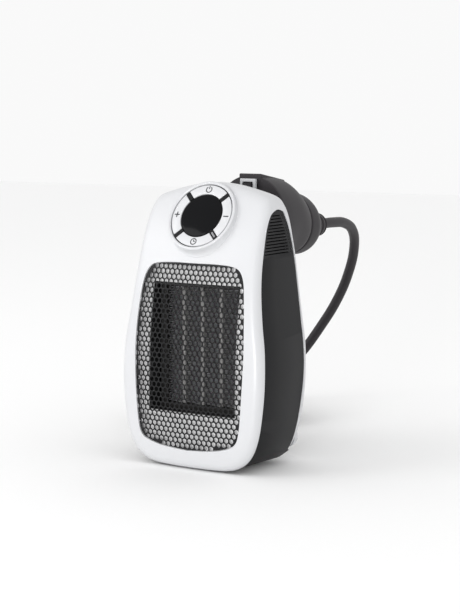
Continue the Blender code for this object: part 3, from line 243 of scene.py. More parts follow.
def moulded(name, colour, roughness, grain=1400.0, depth=0.00002, spread=0.06, **constants):
    """Moulded plastic: spark-eroded grain, slight flow marks, uneven gloss."""
    finish = Finish(name, colour, roughness, **constants)
    flow = finish.noise(14.0, 3.0)
    fine = finish.noise(grain, 2.0)
    finish.tone(flow * 0.7 + fine * 0.3, shade(colour, 1.0 - spread), shade(colour, 1.0 + spread))
    finish.feed("Roughness", roughness - 0.05 + 0.06 * flow + 0.05 * fine)
    finish.bump(fine, depth)
    return finish.material


def make_metal(name, colour, roughness, stretch, metallic=1.0):
    """Rolled or drawn metal: fine lines along one direction."""
    finish = Finish(name, colour, roughness, metallic)
    scaled = finish.node("ShaderNodeMapping", Vector=finish.place, Scale=stretch)["Vector"]
    lines = finish.node("ShaderNodeTexNoise", Vector=scaled, Scale=900.0, Detail=3.0)["Fac"]
    stain = finish.noise(60.0, 3.0)
    finish.tone(lines * 0.6 + stain * 0.4, shade(colour, 0.78), shade(colour, 1.1))
    finish.feed("Roughness", roughness - 0.06 + 0.16 * stain)
    finish.bump(lines, 0.00001)
    return finish.material


def make_ceramic():
    colour = (0.34, 0.335, 0.33)
    finish = Finish("fired_ceramic", colour, 0.6)
    grains = finish.node("ShaderNodeTexVoronoi", Vector=finish.place, Scale=1500.0)["Distance"]
    patches = finish.noise(90.0, 4.0)
    finish.tone(patches * 0.7 + grains * 0.3, shade(colour, 0.75), shade(colour, 1.15))
    finish.bump(grains, 0.00003)
    return finish.material


def make_mica():
    colour = (0.016, 0.015, 0.014)
    finish = Finish("pressed_mica_board", colour, 0.6)
    flakes = finish.node("ShaderNodeTexVoronoi", Vector=finish.place, Scale=260.0)["Distance"]
    cloud = finish.noise(45.0, 4.0)
    finish.tone(flakes * 0.5 + cloud * 0.5, shade(colour, 0.55), shade(colour, 1.25))
    finish.feed("Roughness", 0.42 + 0.3 * flakes)
    finish.bump(flakes, 0.00004)
    return finish.material


def make_board_green():
    colour = (0.02, 0.13, 0.06)
    finish = Finish("solder_mask", colour, 0.3)
    weave = finish.node("ShaderNodeTexWave", {"bands_direction": "DIAGONAL"}, Vector=finish.place,
                        Scale=320.0, Distortion=2.0)["Fac"]
    cloud = finish.noise(160.0, 2.0)
    finish.tone(weave * 0.5 + cloud * 0.5, shade(colour, 0.7), shade(colour, 1.25))
    finish.bump(weave, 0.00001)
    return finish.material


def make_display_glass():
    finish = Finish("display_glass", (0.004, 0.0042, 0.005), 0.05, Specular_IOR_Level=0.08)
    wipe = finish.noise(40.0, 3.0)
    finish.feed("Roughness", 0.03 + 0.05 * wipe)
    finish.tone(wipe, (0.0035, 0.0036, 0.0044), (0.006, 0.0062, 0.007))
    return finish.material


WHITE = (0.60, 0.605, 0.62)
CHARCOAL = (0.009, 0.009, 0.010)
MATERIALS = {
    "shell_white": moulded("shell_white", WHITE, 0.34, 900.0, 0.000008, 0.012, Coat_Weight=0.15,
                           Coat_Roughness=0.2),
    # Grille surround: the same white plastic as the shell, made far lighter than WHITE as painted light, so
    # it reads white in the shade behind the grille.
    "surround_white_painted_light": moulded("surround_white_painted_light", (0.90, 0.90, 0.91), 0.45, 900.0, 0.00001, 0.02),
    "panel_charcoal": moulded("panel_charcoal", CHARCOAL, 0.46, 2200.0, 0.00004, 0.18,
                              Specular_IOR_Level=0.16),
    "cover_charcoal": moulded("cover_charcoal", (0.020, 0.020, 0.022), 0.50, 2000.0, 0.00004, 0.18,
                              Specular_IOR_Level=0.3),
    "grille_paint": moulded("grille_paint", (0.010, 0.010, 0.011), 0.42, 2600.0, 0.00001, 0.12,
                            Specular_IOR_Level=0.22),
    "inner_black": moulded("inner_black", (0.012, 0.012, 0.013), 0.55, 1600.0, 0.00003, 0.2),
    "carrier_black": moulded("carrier_black", (0.006, 0.006, 0.007), 0.25, 1600.0, 0.000004, 0.1,
                             Specular_IOR_Level=0.2),
    "socket_rubber": moulded("socket_rubber", (0.026, 0.023, 0.026), 0.52, 1500.0, 0.00004, 0.14,
                             Specular_IOR_Level=0.3),
    "cord_rubber": moulded("cord_rubber", (0.026, 0.023, 0.026), 0.50, 1300.0, 0.00004, 0.16,
                           Specular_IOR_Level=0.3),
    "tie_black": moulded("tie_black", (0.015, 0.015, 0.015), 0.6, 2400.0, 0.00006, 0.2),
    "pad_rubber": moulded("pad_rubber", (0.020, 0.019, 0.019), 0.7, 1800.0, 0.00005, 0.2),
    "print_grey": moulded("print_grey", (0.030, 0.031, 0.036), 0.5, 3000.0, 0.000003, 0.05),
    "indicator_grey": moulded("indicator_grey", (0.24, 0.24, 0.25), 0.3, 1200.0, 0.000005, 0.05),
    "fin_foil": make_metal("fin_foil", (0.88, 0.88, 0.90), 0.42, (1.0, 12.0, 1.0), 0.55),
    "plated_pin": make_metal("plated_pin", (0.72, 0.70, 0.64), 0.22, (1.0, 0.05, 1.0)),
    "plain_steel": make_metal("plain_steel", (0.52, 0.52, 0.53), 0.32, (1.0, 8.0, 1.0)),
    "fired_ceramic": make_ceramic(),
    "mica_board": make_mica(),
    "solder_mask": make_board_green(),
    "display_glass": make_display_glass(),
}


# -------------------------------------------------------------------- helpers
def add(name, bm, finish, matrix=None, angle=35.0):
    """Make a piece of a bmesh, with its material and smooth shading."""
    bmesh.ops.recalc_face_normals(bm, faces=bm.faces)
    mesh = bpy.data.meshes.new(name)
    bm.to_mesh(mesh)
    bm.free()
    obj = bpy.data.objects.new(name, mesh)
    bpy.context.scene.collection.objects.link(obj)
    if matrix is not None:
        obj.matrix_world = matrix
    if finish is not None:
        mesh.materials.append(MATERIALS[finish])
    mesh.shade_smooth()
    mesh.set_sharp_from_angle(angle=math.radians(angle))
    return obj


def datum():
    """Placement of what is measured from DATUM_Y."""
    return Matrix.Translation((0.0, DATUM_Y, 0.0))


def evaluated(obj):
    """The object's final mesh, with its modifiers applied, as a new mesh."""
    bpy.context.view_layer.update()
    return bpy.data.meshes.new_from_object(obj.evaluated_get(bpy.context.evaluated_depsgraph_get()))


def settle(obj, angle=35.0):
    """Apply the modifiers for good and renew the smooth shading."""
    mesh = evaluated(obj)
    obj.modifiers.clear()
    obj.data = mesh
    mesh.shade_smooth()
    mesh.set_sharp_from_angle(angle=math.radians(angle))
    return obj


def cut(obj, cutter, operation="DIFFERENCE"):
    """Cut, join or trim obj with another mesh, which is used up."""
    finish = list(obj.data.materials)
    mod = obj.modifiers.new("shape", "BOOLEAN")
    mod.operation = operation
    mod.solver = "EXACT"
    mod.object = cutter
    settle(obj)
    bpy.data.objects.remove(cutter, do_unlink=True)
    obj.data.materials.clear()
    for item in finish:
        obj.data.materials.append(item)
    return obj


def bevelled(obj, width, segments=2, limit=40.0, angle=35.0):
    """Round the edges that turn by more than limit."""
    mod = obj.modifiers.new("edge", "BEVEL")
    mod.width = width
    mod.segments = segments
    mod.limit_method = "ANGLE"
    mod.angle_limit = math.radians(limit)
    return settle(obj, angle)


def loft(rings, closed=False):
    """Skin through rings with the same number of points, capped unless it closes on itself."""
    bm = bmesh.new()
    rows = [[bm.verts.new(point) for point in ring] for ring in rings]
    if closed:
        rows.append(rows[0])
    count = len(rows[0])
    for row, following in zip(rows, rows[1:]):
        for i in range(count):
            j = (i + 1) % count
            bm.faces.new((row[i], row[j], following[j], following[i]))
    if not closed:
        bm.faces.new(rows[0][::-1])
        bm.faces.new(rows[-1])
    return bm


def circle(radius, steps, centre=(0.0, 0.0)):
    """A closed loop of points around a centre."""
    return [(centre[0] + radius * math.cos(TURN * k / steps),
             centre[1] + radius * math.sin(TURN * k / steps)) for k in range(steps)]


def prism(loop, low, high):
    """An XZ loop extruded along Y."""
    return loft([[(x, y, z) for x, z in loop] for y in (low, high)])


def box(low, high):
    """A box between two opposite corners."""
    bm = bmesh.new()
    bmesh.ops.create_cube(bm, size=1.0)
    size = [b - a for a, b in zip(low, high)]
    bmesh.ops.scale(bm, vec=size, verts=bm.verts)
    bmesh.ops.translate(bm, vec=[(a + b) / 2.0 for a, b in zip(low, high)], verts=bm.verts)
    return bm


def together(meshes):
    """One bmesh of several that don't touch each other."""
    bm = bmesh.new()
    for piece in meshes:
        mesh = bpy.data.meshes.new("piece")
        piece.to_mesh(mesh)
        piece.free()
        bm.from_mesh(mesh)
        bpy.data.meshes.remove(mesh)
    return bm


def turned(profile, steps=64, centre=(0.0, 0.0)):
    """A solid of revolution about an axis along Y; profile lists (y, radius)."""
    return loft([[(x, y, z) for x, z in circle(radius, steps, centre)] for y, radius in profile])


def spline(points, steps):
    """Catmull-Rom curve through the points, steps pieces between each pair."""
    points = [Vector(p) for p in points]
    padded = [2.0 * points[0] - points[1]] + points + [2.0 * points[-1] - points[-2]]
    result = []
    for i in range(len(points) - 1):
        p0, p1, p2, p3 = padded[i:i + 4]
        for k in range(steps):
            t = k / steps
            result.append(0.5 * (2.0 * p1 + (p2 - p0) * t + (2.0 * p0 - 5.0 * p1 + 4.0 * p2 - p3) * t ** 2
                                 + (3.0 * p1 - p0 - 3.0 * p2 + p3) * t ** 3))
    result.append(points[-1])
    return result


def along(knots, x):
    """Smooth value at x of a curve through knots (x, value)."""
    if x <= knots[0][0]:
        return knots[0][1]
    for i in range(len(knots) - 1):
        x0, y0 = knots[i]
        x1, y1 = knots[i + 1]
        if x <= x1:
            before = knots[max(i - 1, 0)]
            after = knots[min(i + 2, len(knots) - 1)]
            m0 = (y1 - before[1]) / (x1 - before[0])
            m1 = (after[1] - y0) / (after[0] - x0)
            h = x1 - x0
            t = (x - x0) / h
            return ((2 * t ** 3 - 3 * t ** 2 + 1) * y0 + (t ** 3 - 2 * t ** 2 + t) * h * m0
                    + (3 * t ** 2 - 2 * t ** 3) * y1 + (t ** 3 - t ** 2) * h * m1)
    return knots[-1][1]


# ------------------------------------------------------------------ body form
def body_z(share):
    """Height at a share of the body's height."""
    return BASE_Z + share * BODY_HEIGHT


def outline(inset, steps, form=OUTLINE):
    """Front view of the body as a closed loop of (x, z), drawn in by inset."""
    wide = BODY_HALF_WIDTH - inset
    tall = BODY_HEIGHT / 2.0 - inset
    half = [(p[0] * wide, MID_Z + (2.0 * p[1] - 1.0) * tall) for p in spline(form, steps)]
    return half + [(-x, z) for x, z in half[-2:0:-1]]


def face_y(x, z):
    """The front face, from the datum."""
    share = (z - BASE_Z) / BODY_HEIGHT
    return along(FACE, share) * BODY_DEPTH + FACE_BOW * (x / BODY_HALF_WIDTH) ** 2


def back_y(x, z):
    """The rear face, from the datum."""
    share = (z - BASE_Z) / BODY_HEIGHT
    return along(BACK, share) * BODY_DEPTH - FACE_BOW * ((x / BODY_HALF_WIDTH) ** 2 - 1.0)


def body(inset, steps, pod=False):
    """The closed outer form of the heater, every face drawn in by inset."""
    radius = EDGE_RADIUS
    rows = []

    def ring(draw, surface, sign, lift, form=OUTLINE):
        loop = outline(inset + draw, steps, form)
        rows.append([(x, surface(x, z) + sign * (inset + lift), z) for x, z in loop])

    def scaled(share, surface, sign):
        loop = [(x * share, MID_Z + (z - MID_Z) * share) for x, z in outline(inset + radius, steps)]
        rows.append([(x, surface(x, z) + sign * inset, z) for x, z in loop])

    shares = (0.03, 0.16, 0.30, 0.44, 0.58, 0.70, 0.80, 0.88, 0.95)
    angles = [math.radians(90.0 * k / EDGE_TURNS) for k in range(EDGE_TURNS, -1, -1)]
    for share in shares:
        scaled(share, face_y, 1.0)
    for angle in angles:
        ring(radius * (1.0 - math.cos(angle)), face_y, 1.0, radius * (1.0 - math.sin(angle)))
    if pod:
        loops = list(zip(outline(inset, steps), outline(inset, steps, POD)))
        middle = [((x0 + x1) / 2.0, (z0 + z1) / 2.0) for (x0, z0), (x1, z1) in loops]
        rows.append([(x, 0.6 * (face_y(x, z) + radius) + 0.4 * (back_y(x, z) - radius), z)
                     for x, z in middle])
    rear = POD if pod else OUTLINE
    for angle in reversed(angles):
        ring(radius * (1.0 - math.cos(angle)), back_y, -1.0, radius * (1.0 - math.sin(angle)), rear)
    for share in reversed(shares):
        scaled(share, back_y, -1.0)
    return loft(rows)


def panel_cutter(clearance):
    """Side view of the opening for side panels and base, as one solid across the body."""
    front = [(y * BODY_DEPTH + clearance, body_z(s)) for s, y in PANEL_FRONT]
    rear = [(y * BODY_DEPTH - clearance, body_z(s)) for s, y in PANEL_REAR]
    apex = (PANEL_APEX[1] * BODY_DEPTH, body_z(PANEL_APEX[0]) - clearance)
    curve = [tuple(p) for p in spline(front + [apex] + rear, 8)]
    shelf = body_z(PANEL_REAR[-1][0]) - clearance
    below = -BODY_HEIGHT / 10.0
    loop = curve + [(curve[-1][0], shelf), (BODY_DEPTH * 1.3, shelf), (BODY_DEPTH * 1.3, below),
                    (curve[0][0], below)]
    bm = loft([[(x, y, z) for y, z in loop] for x in (-FAR, FAR)])
    return add("panel_cutter", bm, None, datum())


def grille_outline(grow, steps):
    """Front view of the grille's opening as a closed loop, widened by grow."""
    w = GRILLE_HALF_WIDTH + grow
    low, high = GRILLE_FOOT - grow, GRILLE_TOP + grow
    tall = high - low
    shape = ((0.0, 0.0), (0.45, 0.012), (0.75, 0.036), (0.87, 0.065), (0.925, 0.12), (0.965, 0.25),
             (1.0, 0.50), (0.985, 0.68), (0.945, 0.84), (0.905, 0.92), (0.82, 0.972), (0.68, 0.993),
             (0.40, 1.0), (0.0, 1.0))
    half = [(p[0] * w, low + p[1] * tall) for p in spline(shape, steps)]
    return half + [(-x, z) for x, z in half[-2:0:-1]]


def dial_matrix():
    """Local frame of the dial: -Y points out of the face, X across, Z up it."""
    y = face_y(0.0, DIAL_CENTRE_Z) - DIAL_PROUD + DATUM_Y
    return Matrix.Translation((0.0, y, DIAL_CENTRE_Z)) @ Matrix.Rotation(-DIAL_LEAN, 4, "X")


def put(obj, body_name, *nodes):
    """Ride on a body and stand for the named nodes."""
    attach(obj, body_name)
    if nodes:
        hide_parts(*nodes)
    return obj


def make_shell():
    """White hoop with the dial's boss, which flows into the face in a soft cove."""
    shell = add("shell", body(0.0, OUTLINE_STEPS), "shell_white", datum())
    bore = DIAL_RADIUS + GAP
    rim = bore + DIAL_RIM
    profile = [(DIAL_SEAT, bore - BOSS_OVERLAP), (0.0, bore - BOSS_OVERLAP), (0.0, bore),
               (-BOSS_CREST * 0.6, bore + 0.0003), (-BOSS_CREST, bore + 0.0009),
               (-BOSS_CREST * 0.8, bore + 0.0015), (-BOSS_CREST * 0.1, rim)]
    for k in range(1, 11):
        turn = math.radians(90.0 * k / 10)
        profile.append((COVE_DEPTH * math.sin(turn), rim + COVE_FLARE * (1.0 - math.cos(turn))))
    profile.append((DIAL_SEAT, rim + COVE_FLARE))
    boss = loft([[(x, y, z) for x, z in circle(radius, DIAL_STEPS)] for y, radius in profile], closed=True)
    hollow = add("shell_hollow", body(WALL, OUTLINE_STEPS), None, datum())
    cut(shell, hollow)
    cut(shell, add("boss", boss, None, dial_matrix()), "UNION")
    cut(shell, add("bore", prism(circle(bore, DIAL_STEPS), -0.02, DIAL_SEAT * 3.0), None, dial_matrix()))
    cut(shell, panel_cutter(0.0))
    cut(shell, add("rear", prism(outline(REAR_RIM, OUTLINE_STEPS), BODY_DEPTH / 2.0, FAR), None, datum()))
    depth = face_y(0.0, GRILLE_TOP) + 3.0 * WALL
    cut(shell, add("window", prism(grille_outline(GAP, OUTLINE_STEPS), -FAR, depth), None, datum()))
    bevelled(shell, SHELL_BEVEL, 2, 50.0, 30.0)
    return put(shell, "heater", "outer_shell")


def panel_shell(name):
    """Thin charcoal shell of the sides and base, before it is split."""
    panel = add(name, body(PANEL_INSET, OUTLINE_STEPS, pod=True), "panel_charcoal", datum())
    cut(panel, add("hollow", body(PANEL_INSET + WALL, OUTLINE_STEPS, pod=True), None, datum()))
    return cut(panel, panel_cutter(GAP), "INTERSECT")


def make_side_panel(name, side, node):
    """Charcoal panel with thirteen louvres and a dimple at the end of each."""
    panel = panel_shell(name)
    low, high = sorted((side * (BASE_HALF_WIDTH + GAP), side * FAR))
    cut(panel, add("half", box((low, -FAR, -FAR), (high, FAR, FAR)), None), "INTERSECT")
    slots = []
    for k in range(LOUVRES):
        z = CROWN_Z - LOUVRE_DROP - k * LOUVRE_PITCH
        share = (z - BASE_Z) / BODY_HEIGHT
        front = along(PANEL_FRONT, share) * BODY_DEPTH + LOUVRE_FRONT_MARGIN
        rear = along(tuple(reversed(PANEL_REAR)), share) * BODY_DEPTH - LOUVRE_REAR_MARGIN
        slots.append(box((low, front, z), (high, rear, z + LOUVRE_HEIGHT)))
        dimple = circle(DIMPLE_RADIUS, 10, (rear + DIMPLE_GAP, z + LOUVRE_HEIGHT / 2.0))
        slots.append(loft([[(x, y, level) for y, level in dimple] for x in (low, high)]))
    cut(panel, add("louvres", together(slots), None, datum()))
    bevelled(panel, PANEL_BEVEL, 2, 55.0, 30.0)
    return put(panel, "heater", node)


def make_base():
    """Charcoal base between the side panels."""
    base = panel_shell("base")
    cut(base, add("middle", box((-BASE_HALF_WIDTH, -FAR, -FAR), (BASE_HALF_WIDTH, FAR, MID_Z)), None),
        "INTERSECT")
    return put(bevelled(base, BASE_BEVEL, 2, 55.0, 30.0), "heater", "base_plate")


def make_rear_cover():
    """Charcoal cover with the air inlet: fine slots in a round field."""
    cover = add("rear_cover_shell", body(0.0, OUTLINE_STEPS), "cover_charcoal", datum())
    cut(cover, add("hollow", body(WALL, OUTLINE_STEPS), None, datum()))
    middle = BODY_DEPTH / 2.0
    trim = prism(outline(REAR_RIM + GAP, OUTLINE_STEPS), middle, FAR)
    cut(cover, add("trim", trim, None, datum()), "INTERSECT")
    plug_low, plug_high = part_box("plug_base")
    plug_radius = (plug_high[0] - plug_low[0]) / 2.0
    cuts = [prism(circle(plug_radius + GAP, 96, (0.0, plug_low[2] + plug_radius)), middle, FAR)]
    fan_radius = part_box("fan_rotor")[1][0]
    count = int(2.0 * fan_radius / INTAKE_PITCH) | 1
    for k in range(count):
        x = (k - count // 2) * INTAKE_PITCH
        half = math.sqrt(max(fan_radius ** 2 - x ** 2, 0.0)) - INTAKE_WIDTH
        if half > 2.0 * INTAKE_WIDTH:
            end = INTAKE_WIDTH / 2.0
            loop = [(x + end * math.cos(a), FAN_Z + sign * half + end * math.sin(a))
                    for sign, start in ((1, 0.0), (-1, math.pi))
                    for a in [start + math.pi * i / 6 for i in range(7)]]
            cuts.append(prism(loop, middle, FAR))
    for k in range(1, 5):
        low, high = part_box("cover_screw_%d" % k)
        centre = ((low[0] + high[0]) / 2.0, (low[2] + high[2]) / 2.0)
        cuts.append(prism(circle(SCREW_HOLE_RADIUS, 24, centre), middle, FAR))
    cut(cover, add("cuts", together(cuts), None, datum()))
    return put(bevelled(cover, COVER_BEVEL, 2, 50.0, 30.0), "heater", "rear_cover")


def inside(x, z, loop):
    """Whether a point lies within a closed loop."""
    hit = False
    for (x0, z0), (x1, z1) in zip(loop, loop[1:] + loop[:1]):
        if (z0 > z) != (z1 > z) and x < (x1 - x0) * (z - z0) / (z1 - z0) + x0:
            hit = not hit
    return hit


def perforated_sheet(reach_x, low, high, margin):
    """Flat sheet of hexagonal cells; a cell inside margin has a rounded hexagonal hole."""
    bm = bmesh.new()
    side = GRILLE_PITCH / math.sqrt(3.0)
    row_height = GRILLE_PITCH * math.sqrt(0.75)
    rows = int((high - low) / row_height) + 3
    columns = int(reach_x / GRILLE_PITCH) + 2
    middle = (low + high) / 2.0
    corners = {}

    def corner(x, z):
        key = (round(x / side * 8.0), round(z / side * 8.0))
        if key not in corners:
            corners[key] = bm.verts.new((x, 0.0, z))
        return corners[key]

    for row in range(-rows // 2, rows // 2 + 1):
        z = middle + row * row_height
        for column in range(-columns, columns + 1):
            x = (column + (0.5 if row % 2 else 0.0)) * GRILLE_PITCH
            ring = [corner(x + side * math.cos(math.radians(30 + 60 * k)),
                           z + side * math.sin(math.radians(30 + 60 * k))) for k in range(6)]
            if not inside(x, z, margin):
                bm.faces.new(ring)
                continue
            hole = []
            for k in range(12):
                angle = math.radians(30 + 30 * k)
                radius = GRILLE_HOLE * (1.06 if k % 2 == 0 else 0.985)
                hole.append(bm.verts.new((x + radius * math.cos(angle), 0.0,
                                          z + radius * math.sin(angle))))
            for k in range(6):
                a, b = ring[k], ring[(k + 1) % 6]
                h0, h1, h2 = hole[2 * k], hole[2 * k + 1], hole[(2 * k + 2) % 12]
                bm.faces.new((a, h1, h0))
                bm.faces.new((a, b, h1))
                bm.faces.new((b, h2, h1))
    return bm


def make_grille():
    """Perforated sheet, trimmed to the frame's opening and bent to the face."""
    margin = grille_outline(GRILLE_OVERRUN - GRILLE_HOLE, 4)
    sheet = perforated_sheet(GRILLE_HALF_WIDTH, GRILLE_FOOT, GRILLE_TOP, margin)
    grille = add("perforated_grille", sheet, "grille_paint")
    mod = grille.modifiers.new("sheet", "SOLIDIFY")
    mod.thickness = GRILLE_THICK
    mod.offset = 0.0
    settle(grille)
    cut(grille, add("trim", prism(grille_outline(-GAP / 2.0, 4), -0.01, 0.01), None), "INTERSECT")
    for vertex in grille.data.vertices:
        x, y, z = vertex.co
        vertex.co.y = y + face_y(x, z) + GRILLE_RECESS + GRILLE_THICK / 2.0 + DATUM_Y
    grille.data.shade_flat()
    return put(grille, "heater", "front_grille")


# ------------------------------------------------------------------- air path
def make_fins(index):
    """Corrugated foil between two ceramic bars, folded across its strip."""
    node = "fin_stack_%d" % index
    low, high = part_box(node)
    folds = int((high[2] - low[2]) / (FIN_PITCH / 2.0))
    step = (high[2] - low[2] - FIN_FOIL) / folds
    zigzag = []
    for k in range(folds + 1):
        x = low[0] + FIN_FOIL if k % 2 else high[0] - FIN_FOIL
        zigzag.append((x, low[2] + FIN_FOIL / 2.0 + k * step))
    bm = bmesh.new()
    rows = [[bm.verts.new((x, y, z)) for x, z in zigzag] for y in (low[1], high[1])]
    for k in range(folds):
        bm.faces.new((rows[0][k], rows[0][k + 1], rows[1][k + 1], rows[1][k]))
    fins = add("fin_strip_%d" % index, bm, "fin_foil")
    mod = fins.modifiers.new("foil", "SOLIDIFY")
    mod.thickness = FIN_FOIL
    mod.offset = 0.0
    settle(fins, 20.0)
    return put(fins, "heater", node)


# ------------------------------------------------------------------- the dial
def sector_loop(inner, outer, centre, gap, steps=24):
    """Ring segment whose straight ends stay parallel to the spokes."""
    loop = []
    for radius, direction in ((outer, 1.0), (inner, -1.0)):
        half = math.radians(45.0) - math.asin(gap / radius)
        for k in range(steps + 1):
            a = centre + direction * half * (2.0 * k / steps - 1.0)
            loop.append((radius * math.cos(a), radius * math.sin(a)))
    return loop


BUTTONS = {"button_minus": 0.0, "button_power": 90.0, "button_plus": 180.0, "button_timer": 270.0}


def bar_loop(centre, length, width, angle=0.0):
    """A bar with round ends, lying in the dial's face."""
    loop = []
    half = length / 2.0 - width / 2.0
    for sign, start in ((1.0, -90.0), (-1.0, 90.0)):
        for k in range(9):
            a = math.radians(start + 180.0 * k / 8)
            u, v = sign * half + width / 2.0 * math.cos(a), width / 2.0 * math.sin(a)
            loop.append((centre[0] + u * math.cos(angle) - v * math.sin(angle),
                         centre[1] + u * math.sin(angle) + v * math.cos(angle)))
    return loop


def arc_mesh(centre, radius, width, start, end, steps=40):
    """A thin flat arc, printed on the cap."""
    bm = bmesh.new()
    rows = []
    inner, outer = radius - width / 2.0, radius + width / 2.0
    section = ((inner, 0.0), (outer, 0.0), (outer, -PRINT_THICK), (inner, -PRINT_THICK))
    for k in range(steps + 1):
        a = math.radians(start + (end - start) * k / steps)
        rows.append([bm.verts.new((centre[0] + r * math.cos(a), y, centre[1] + r * math.sin(a)))
                     for r, y in section])
    for row, following in zip(rows, rows[1:]):
        for i in range(4):
            j = (i + 1) % 4
            bm.faces.new((row[i], row[j], following[j], following[i]))
    bm.faces.new(rows[0][::-1])
    bm.faces.new(rows[-1])
    return bm


def make_symbol(node, centre):
    """The generic mark on each cap: power, plus, minus or a clock."""
    size, line, upright = SYMBOL_SIZE, SYMBOL_LINE, math.pi / 2.0
    over = (-PRINT_THICK * 1.4, -PRINT_THICK * 0.4)
    meshes = []
    if node == "button_power":
        stroke = bar_loop((centre[0], centre[1] + size * 0.75), size * 1.2, line, upright)
        meshes.append(arc_mesh(centre, size, line, 125.0, 415.0))
        meshes.append(prism(stroke, -PRINT_THICK, 0.0))
    elif node == "button_timer":
        long_hand = bar_loop((centre[0], centre[1] + size * 0.3), size * 0.75, line * 0.9, upright)
        short_hand = bar_loop((centre[0] + size * 0.28, centre[1]), size * 0.6, line * 0.9)
        meshes.append(arc_mesh(centre, size, line, 0.0, 359.0, 48))
        meshes.append(prism(long_hand, -PRINT_THICK, 0.0))
        meshes.append(prism(short_hand, *over))
    else:
        meshes.append(prism(bar_loop(centre, size * 2.0, line * 1.15), -PRINT_THICK, 0.0))
        if node == "button_plus":
            meshes.append(prism(bar_loop(centre, size * 2.0, line * 1.15, upright), *over))
    mark = add(node.replace("button", "mark"), together(meshes), "print_grey", dial_matrix())
    return put(mark, node)


def make_button(node, degrees):
    """White cap between two spokes, with its symbol."""
    angle = math.radians(degrees)
    inner, outer = LENS_RADIUS + BUTTON_GAP, DIAL_RADIUS - BUTTON_GAP
    loop = sector_loop(inner, outer, angle, SPOKE_WIDTH / 2.0 + GAP)
    cap = add(node.replace("button", "cap"), prism(loop, 0.0, BUTTON_THICK), "shell_white", dial_matrix())
    bevelled(cap, CAP_BEVEL, 3, 60.0, 30.0)
    put(cap, node, node)
    middle = (inner + outer) / 2.0
    make_symbol(node, (middle * math.cos(angle), middle * math.sin(angle)))


def make_display():
    """Slightly domed glossy lens, round edge."""
    profile = [(LENS_BACK, LENS_RADIUS)]
    profile += [(LENS_EDGE * (1.0 - math.sin(a)), LENS_RADIUS - LENS_EDGE * (1.0 - math.cos(a)))
                for a in [math.radians(90.0 * k / 5) for k in range(6)]]
    for k in range(1, 12):
        share = 1.0 - k / 12.0
        profile.append((-LENS_RISE * (1.0 - share ** 2), (LENS_RADIUS - LENS_EDGE) * share))
    profile.append((-LENS_RISE, 0.0001))
    lens = add("display_window", turned(profile, 96), "display_glass", dial_matrix())
    return put(lens, "heater", "display_lens")


# -------------------------------------------------------------- lead's pieces
# Drum and ring of the socket, as shares of its length, its radius and SOCKET_DROP.
SOCKET_FORM = (
    ((0.0, 0.985, 0.0), (0.03, 1.0, 0.0), (0.16, 0.995, 0.02), (0.36, 0.955, 0.08), (0.48, 0.915, 0.27),
     (0.58, 0.86, 0.53), (0.63, 0.81, 0.62), (0.655, 0.765, 0.655)),
    ((0.66, 0.785, 0.66), (0.68, 0.80, 0.675), (0.78, 0.795, 0.74), (0.83, 0.77, 0.78), (0.88, 0.715, 0.82),
     (0.94, 0.63, 0.88), (1.0, 0.53, 0.97)))
SOCKET_LENGTH = 0.0705
SOCKET_DROP = 0.0112            # how far the socket's middle sinks from face to neck
SOCKET_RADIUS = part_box("lead_socket")[1][0]
SOCKET_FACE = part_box("lead_socket")[0][1]
SOCKET_RISE = 0.0046            # of its face's middle above the plug's axis
SOCKET_Z = PLUG_Z + SOCKET_RISE
SOCKET_AHEAD = 0.02            # where the bore's cutters start, ahead of the face
LATCH_WIDTH, LATCH_LENGTH = 0.0172, 0.0310
LATCH_RISE, LATCH_FALL = 0.0011, 0.0052
CORD_RADIUS = 0.0037
RELIEF_RADIUS = 0.0090
RELIEF_RIBS = 4
RELIEF_NOSE = 0.0022            # plain tip beyond the last rib
RELIEF_EDGE = 0.0008            # rounding at both ends
PLUG_RADIUS = 0.0193
SOCKET_WALL_GAP = 0.0005        # around the plug in the socket's bore


def make_socket():
    """Rubber body of the socket, its front edge rounded, the latch tab on top."""
    rings = []
    for share, radius, drop in spline(SOCKET_FORM[0], 4) + spline(SOCKET_FORM[1], 4):
        centre = (0.0, SOCKET_Z - drop * SOCKET_DROP)
        y = SOCKET_FACE + share * SOCKET_LENGTH
        rings.append([(x, y, z) for x, z in circle(min(radius, 1.0) * SOCKET_RADIUS, 96, centre)])
    socket = add("socket_body", loft(rings), "socket_rubber")
    top = SOCKET_Z + SOCKET_RADIUS + LATCH_RISE
    low = SOCKET_Z + SOCKET_RADIUS / 2.0
    rear = SOCKET_FACE + LATCH_LENGTH
    slope = [(SOCKET_FACE, low), (SOCKET_FACE, top), (rear, top - LATCH_FALL), (rear, low)]
    half = LATCH_WIDTH / 2.0
    tab = add("tab", loft([[(x, y, z) for y, z in slope] for x in (-half, half)]), None)
    bevelled(tab, TAB_BEVEL, 3)
    cut(socket, tab, "UNION")
    plug_low, plug_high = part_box("plug_base")
    axis = (0.0, plug_low[2] + (plug_high[0] - plug_low[0]) / 2.0)
    insert_low, insert_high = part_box("socket_insert")
    bore = PLUG_RADIUS + SOCKET_WALL_GAP
    insert = insert_high[0] + GAP
    ahead = SOCKET_FACE - SOCKET_AHEAD
    cut(socket, add("bore", prism(circle(bore, 96, axis), ahead, insert_low[1]), None))
    cut(socket, add("seat", prism(circle(insert, 96, axis), ahead, insert_high[1] + GAP), None))
    bevelled(socket, SOCKET_BEVEL, 3, 50.0, 30.0)
    return put(socket, "lead", "lead_socket")


